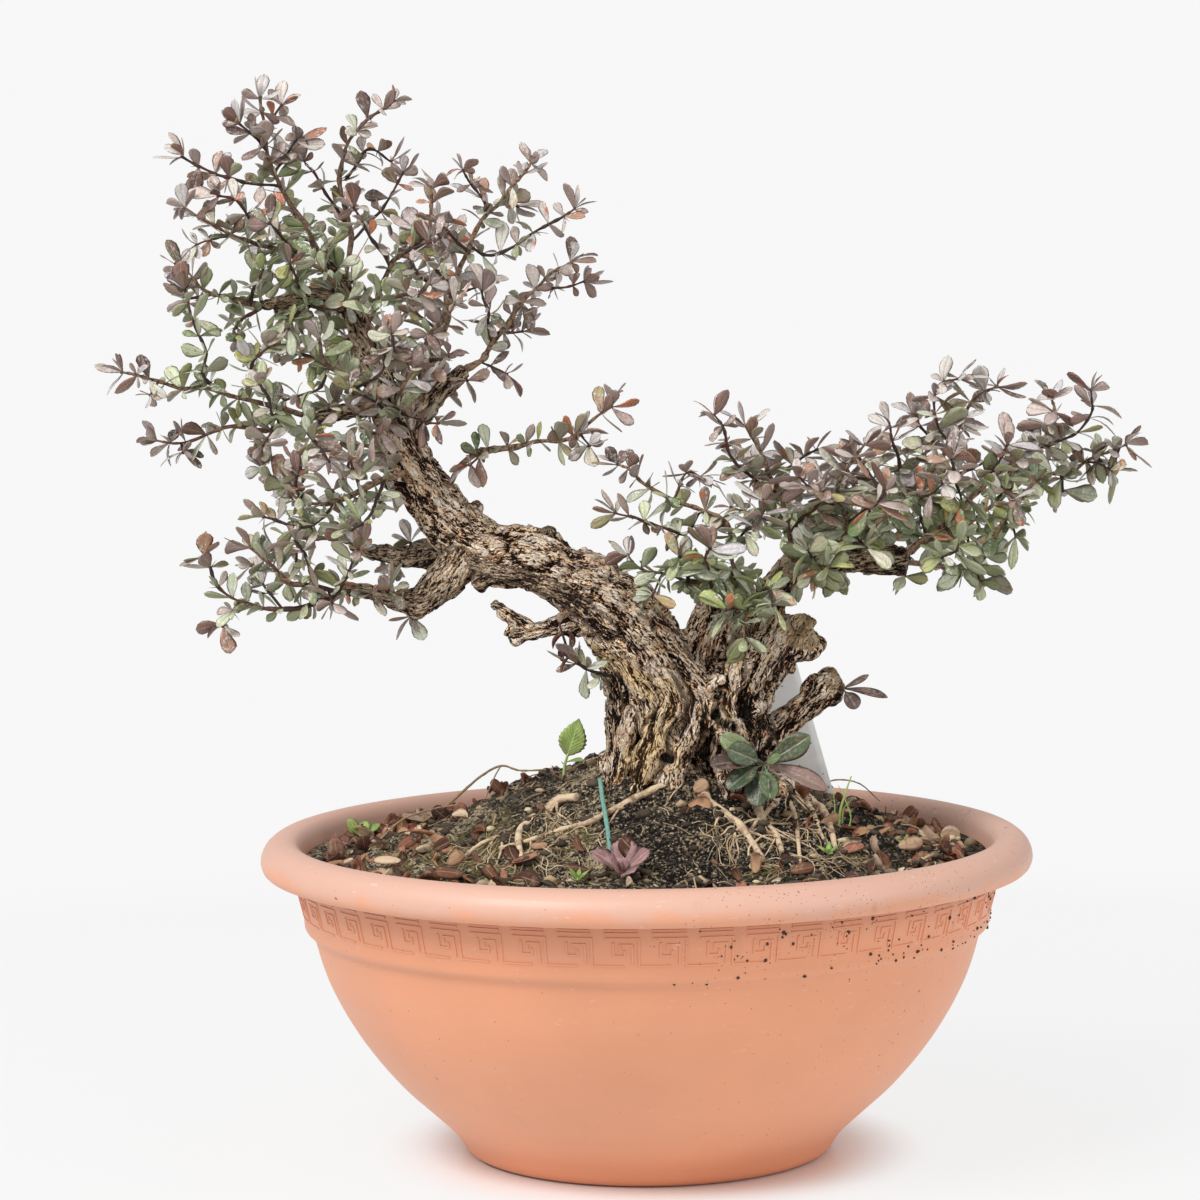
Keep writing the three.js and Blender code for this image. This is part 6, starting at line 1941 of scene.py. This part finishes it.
class BONSAI_OT_weeds(bpy.types.Operator):
    """Set the weeds, the seedling with its toothed leaf and the grass blade in the compost"""

    bl_idname = "bonsai.weeds"
    bl_label = "Weeds and seedling"

    def execute(self, context):
        settings = context.scene.bonsai_extras
        green = weed_finish("weed leaf", settings.weed)
        purple = weed_finish("purple weed leaf", settings.weed_purple)
        for name, ((x, y), many, length, width, rise) in WEEDS.items():
            weed = Piece()
            base = float(mound(x, y))
            shape = bar([[x, y, base - 6], [x, y, base - 2], [x, y, base + 2.4]], [0.9, 0.7], 6, 6)
            weed.add(*shape)
            i = np.arange(many * 2)
            outer = i < many
            heading = (i % many) * 2 * np.pi / many + chance(float(many), i % many, 9) * 0.4
            heading = heading + np.where(outer, 0, np.pi / many)
            near = np.maximum(-np.sin(heading), 0)
            long = length * (0.75 + 0.25 * chance(i % many, float(many), 3))
            long = long * np.where(outer, 1 - 0.35 * near, 0.4)
            lift = np.radians(rise) + (i % 2) * 0.28 + np.where(outer, -0.5 * near, 0.35)
            reach = pointing(heading, lift)
            foot = np.tile([x, y, base + 1.2], (many * 2, 1))
            pattern = STRAP_LEAF if width < 4 else LEAF
            wide = width * 1.1 * np.where(outer, 1 - 0.2 * near, 0.4)
            turned_up = 0.55 * facing(reach, [0, -1, 0.7]) + (i % 3 - 1) * 0.2
            shape, faces, place = pattern.spread(foot, reach * long[:, None], wide, turned_up,
                0.5 * chance(i, 2, 8) - 0.1, np.full(len(i), 0.2), 0.4)
            weed.add(shape, faces, leaf_place=place)
            is_purple = name == "weed_purple"
            put(weed.make(name + "_leaves", [purple if is_purple else green]),
                "weed_purple" if is_purple else "leaf_bright", name)
        grow_seedling(green)
        grow_grass(green)
        return {"FINISHED"}


class BONSAI_OT_label(bpy.types.Operator):
    """Stand the blank plant label behind the tree, dusty and spotted with soil"""

    bl_idname = "bonsai.label"
    bl_label = "Plant label"

    def execute(self, context):
        settings = context.scene.bonsai_extras
        shader = Shader("label plastic", Roughness=0.45, Specular_IOR_Level=0.4, Subsurface_Weight=0.6,
            Subsurface_Radius=(1, 1, 1), Subsurface_Scale=0.01)
        place = shader.place()
        dust = shader.cloud(place, 40, 4)
        plastic = shader.mix(dust.step(0.4, 0.7) * 0.5, settings.label, "E2DED4")
        low = place.part(2).step(0.245, 0.16)
        keep = shader.cells(place, 330, "Color").part(0)
        speck = (low * 0.5 + 0.12 > keep) * shader.cells(place, 330).step(0.3, 0.16)
        plastic = shader.mix(speck * 0.85, plastic, "4A3A2E")
        plastic = shader.mix(low * dust.step(0.3, 0.7) * 0.4, plastic, "8C8070")
        finish = shader.finish(Base_Color=plastic, Normal=shader.bump(dust, 0.0003, 0.5))
        wide, tall = LABEL_SIZE
        u, v = np.meshgrid(np.linspace(-1, 1, 9), np.linspace(0, 1, 31), indexing="ij")
        trim = 2.2 * np.maximum(np.abs(u) - 0.75, 0) ** 2 * 16
        high = -tall / 2 + tall * v - np.where(v > 0.98, trim, 0)
        bow = 0.5 * np.sin(np.pi * v) * (1 - u ** 2)
        front = np.stack([u * wide / 2, -0.6 - bow, high], -1)
        back = np.stack([u * wide / 2, 0.6 - bow, high], -1)
        number = np.arange(u.size).reshape(u.shape)
        faces = [grid_faces(number), grid_faces(number + u.size)[:, [0, 3, 2, 1]]]
        rim = np.concatenate([number[:-1, 0], number[-1, :-1], number[:0:-1, -1], number[0, :0:-1]])
        follow = np.roll(rim, -1)
        faces.append(np.stack([rim, rim + u.size, follow + u.size, follow], -1))
        points = np.concatenate([front.reshape(-1, 3), back.reshape(-1, 3)])
        turn = math.radians(LABEL_TILT)
        x = points[:, 0] * math.cos(turn) + points[:, 2] * math.sin(turn)
        z = -points[:, 0] * math.sin(turn) + points[:, 2] * math.cos(turn)
        label = Piece()
        label.add(np.stack([x, points[:, 1], z], -1) + LABEL_PLACE, faces)
        put(label.make("label_strip", [finish]), "label_plastic", "plant_label")
        return {"FINISHED"}


class BONSAI_OT_wire(bpy.types.Operator):
    """Bend the coated tie wire from the trunk's foot down over the mound"""

    bl_idname = "bonsai.wire"
    bl_label = "Tie wire"

    def execute(self, context):
        settings = context.scene.bonsai_extras
        shader = Shader("wire coat", Roughness=0.4, Specular_IOR_Level=0.5)
        place = shader.place()
        wear_and_painted_highlight = shader.cloud(place, 300, 3)
        coat = shader.mix(wear_and_painted_highlight.step(0.5, 0.75) * 0.6, settings.wire, "9FC4B8")
        coat = shader.mix(shader.cloud(place, 90, 3).step(0.6, 0.75) * 0.7, coat, "4E5A4C")
        finish = shader.finish(Base_Color=coat, Normal=shader.bump(wear_and_painted_highlight, 0.0003, 0.6))
        reach = settings.wire_size / MM / 2
        wire = Piece()
        wire.add(*bar(WIRE_PATH, [reach, reach], 12, 60, 0.04))
        put(wire.make("tie_wire_coat", [finish]), "wire_coat", "tie_wire")
        return {"FINISHED"}


class BONSAI_OT_stage(bpy.types.Operator):
    """Lay the pale floor and set the soft lights and the camera at the photograph's angle"""

    bl_idname = "bonsai.stage"
    bl_label = "Stage, light and camera"

    def execute(self, context):
        settings = context.scene.bonsai_stage
        scene = context.scene
        shader = Shader("floor", Roughness=0.32, Specular_IOR_Level=0.35)
        place = shader.place()
        tint = shader.mix(shader.cloud(place, 2, 2) * 0.04, settings.floor, "E6E6E6")
        shader.finish(Base_Color=tint)
        away = shader.node("VectorMath", {"operation": "LENGTH"}, {0: place}, 1)
        far = away.step(0.097, 0.15, 0.0, 0.85).math("MAXIMUM", away.step(0.25, 1.0))
        glow = shader.node("Emission", {}, {0: (1, 1, 1, 1), 1: settings.backdrop})
        bsdf = Wire(shader, shader.surface.outputs[0])
        blend = shader.node("MixShader", {}, {0: far, 1: bsdf, 2: glow})
        out = next(n for n in shader.tree.nodes if n.type == "OUTPUT_MATERIAL")
        shader.tree.links.new(blend.socket, out.inputs[0])
        disc = Piece()
        rings = np.array([[0.2, 0], [400, 0], [1500, 0], [9000, 0], [9000, -20], [1500, -20], [0.2, -20]])
        disc.add(*lathe(rings[::-1], 96))
        floor = disc.make("floor", [shader.material])
        floor.data.polygons.foreach_set("use_smooth", np.zeros(len(floor.data.polygons), bool))
        world = bpy.data.worlds.new("even light")
        scene.world = world
        world.use_nodes = True
        sky = world.node_tree.nodes["Background"]
        sky.inputs[0].default_value = (1, 1, 1, 1)
        seen = world.node_tree.nodes.new("ShaderNodeLightPath")
        level = world.node_tree.nodes.new("ShaderNodeMapRange")
        level.inputs["To Min"].default_value = settings.daylight
        level.inputs["To Max"].default_value = settings.backdrop
        world.node_tree.links.new(seen.outputs["Is Camera Ray"], level.inputs["Value"])
        world.node_tree.links.new(level.outputs[0], sky.inputs[1])
        for name, spot, wide, power in LAMPS:
            lamp = bpy.data.lights.new(name, "AREA")
            lamp.size = wide
            lamp.energy = settings.key_light * power
            held = bpy.data.objects.new(name, lamp)
            scene.collection.objects.link(held)
            back = unit(np.array(spot) - LIGHTS_AIM)
            right = unit(np.cross([0, 0, 1.0], back))
            held.matrix_world = turned(right, np.cross(back, right), back, spot)
        down = math.radians(CAMERA_DOWN)
        roll = math.radians(CAMERA_ROLL)
        right = np.array([1.0, 0, 0])
        up = np.array([0, math.sin(down), math.cos(down)])
        lens = bpy.data.cameras.new("camera")
        lens.lens = settings.lens
        lens.sensor_width = 36
        lens.clip_end = 50
        camera = bpy.data.objects.new("camera", lens)
        scene.collection.objects.link(camera)
        camera.matrix_world = turned(right * math.cos(roll) - up * math.sin(roll),
            right * math.sin(roll) + up * math.cos(roll), np.array([0, -math.cos(down), math.sin(down)]),
            CAMERA_PLACE)
        scene.camera = camera
        scene.view_settings.view_transform = "Standard"
        return {"FINISHED"}


def turned(right, up, back, spot):
    """Matrix of an object from its three directions and its place."""
    matrix = np.eye(4)
    matrix[:3, 0], matrix[:3, 1], matrix[:3, 2], matrix[:3, 3] = right, up, back, spot
    return Matrix(matrix.tolist())


class BONSAI_PT_pieces(bpy.types.Panel):
    """Everything the bonsai is made of"""

    bl_label = "Barberry bonsai"
    bl_idname = "BONSAI_PT_pieces"
    bl_space_type = "VIEW_3D"
    bl_region_type = "UI"
    bl_category = "Bonsai"

    def draw(self, context):
        """One row for each builder, in a box for each group."""
        for holder, operators in PANEL_ROWS:
            box = self.layout.box()
            settings = getattr(context.scene, holder)
            for name in settings.__annotations__:
                box.prop(settings, name)
            for operator in operators:
                box.operator(operator.bl_idname)


SETTINGS = {
    "bonsai_bowl": BonsaiBowl,
    "bonsai_wood": BonsaiWood,
    "bonsai_foliage": BonsaiFoliage,
    "bonsai_soil": BonsaiSoil,
    "bonsai_extras": BonsaiExtras,
    "bonsai_stage": BonsaiStage,
}
PANEL_ROWS = [
    ("bonsai_bowl", [BONSAI_OT_bowl]),
    ("bonsai_soil", [BONSAI_OT_compost]),
    ("bonsai_wood", [BONSAI_OT_trunk]),
    ("bonsai_foliage", [BONSAI_OT_sprays]),
    ("bonsai_extras", [BONSAI_OT_weeds, BONSAI_OT_label, BONSAI_OT_wire]),
    ("bonsai_stage", [BONSAI_OT_stage]),
]
CLASSES = [*SETTINGS.values(), *(kind for _, kinds in PANEL_ROWS for kind in kinds), BONSAI_PT_pieces]


def register():
    """Adds the settings, the builders and the panel to Blender."""
    for kind in CLASSES:
        bpy.utils.register_class(kind)
    for name, kind in SETTINGS.items():
        setattr(bpy.types.Scene, name, bpy.props.PointerProperty(type=kind))


def unregister():
    """Takes them out again."""
    for name in SETTINGS:
        delattr(bpy.types.Scene, name)
    for kind in reversed(CLASSES):
        bpy.utils.unregister_class(kind)


def main():
    """Builds every piece."""
    register()
    bpy.ops.bonsai.bowl()
    bpy.ops.bonsai.compost()
    bpy.ops.bonsai.trunk()
    bpy.ops.bonsai.sprays()
    bpy.ops.bonsai.weeds()
    bpy.ops.bonsai.label()
    bpy.ops.bonsai.wire()
    bpy.ops.bonsai.stage()


if __name__ == "__main__":
    main()
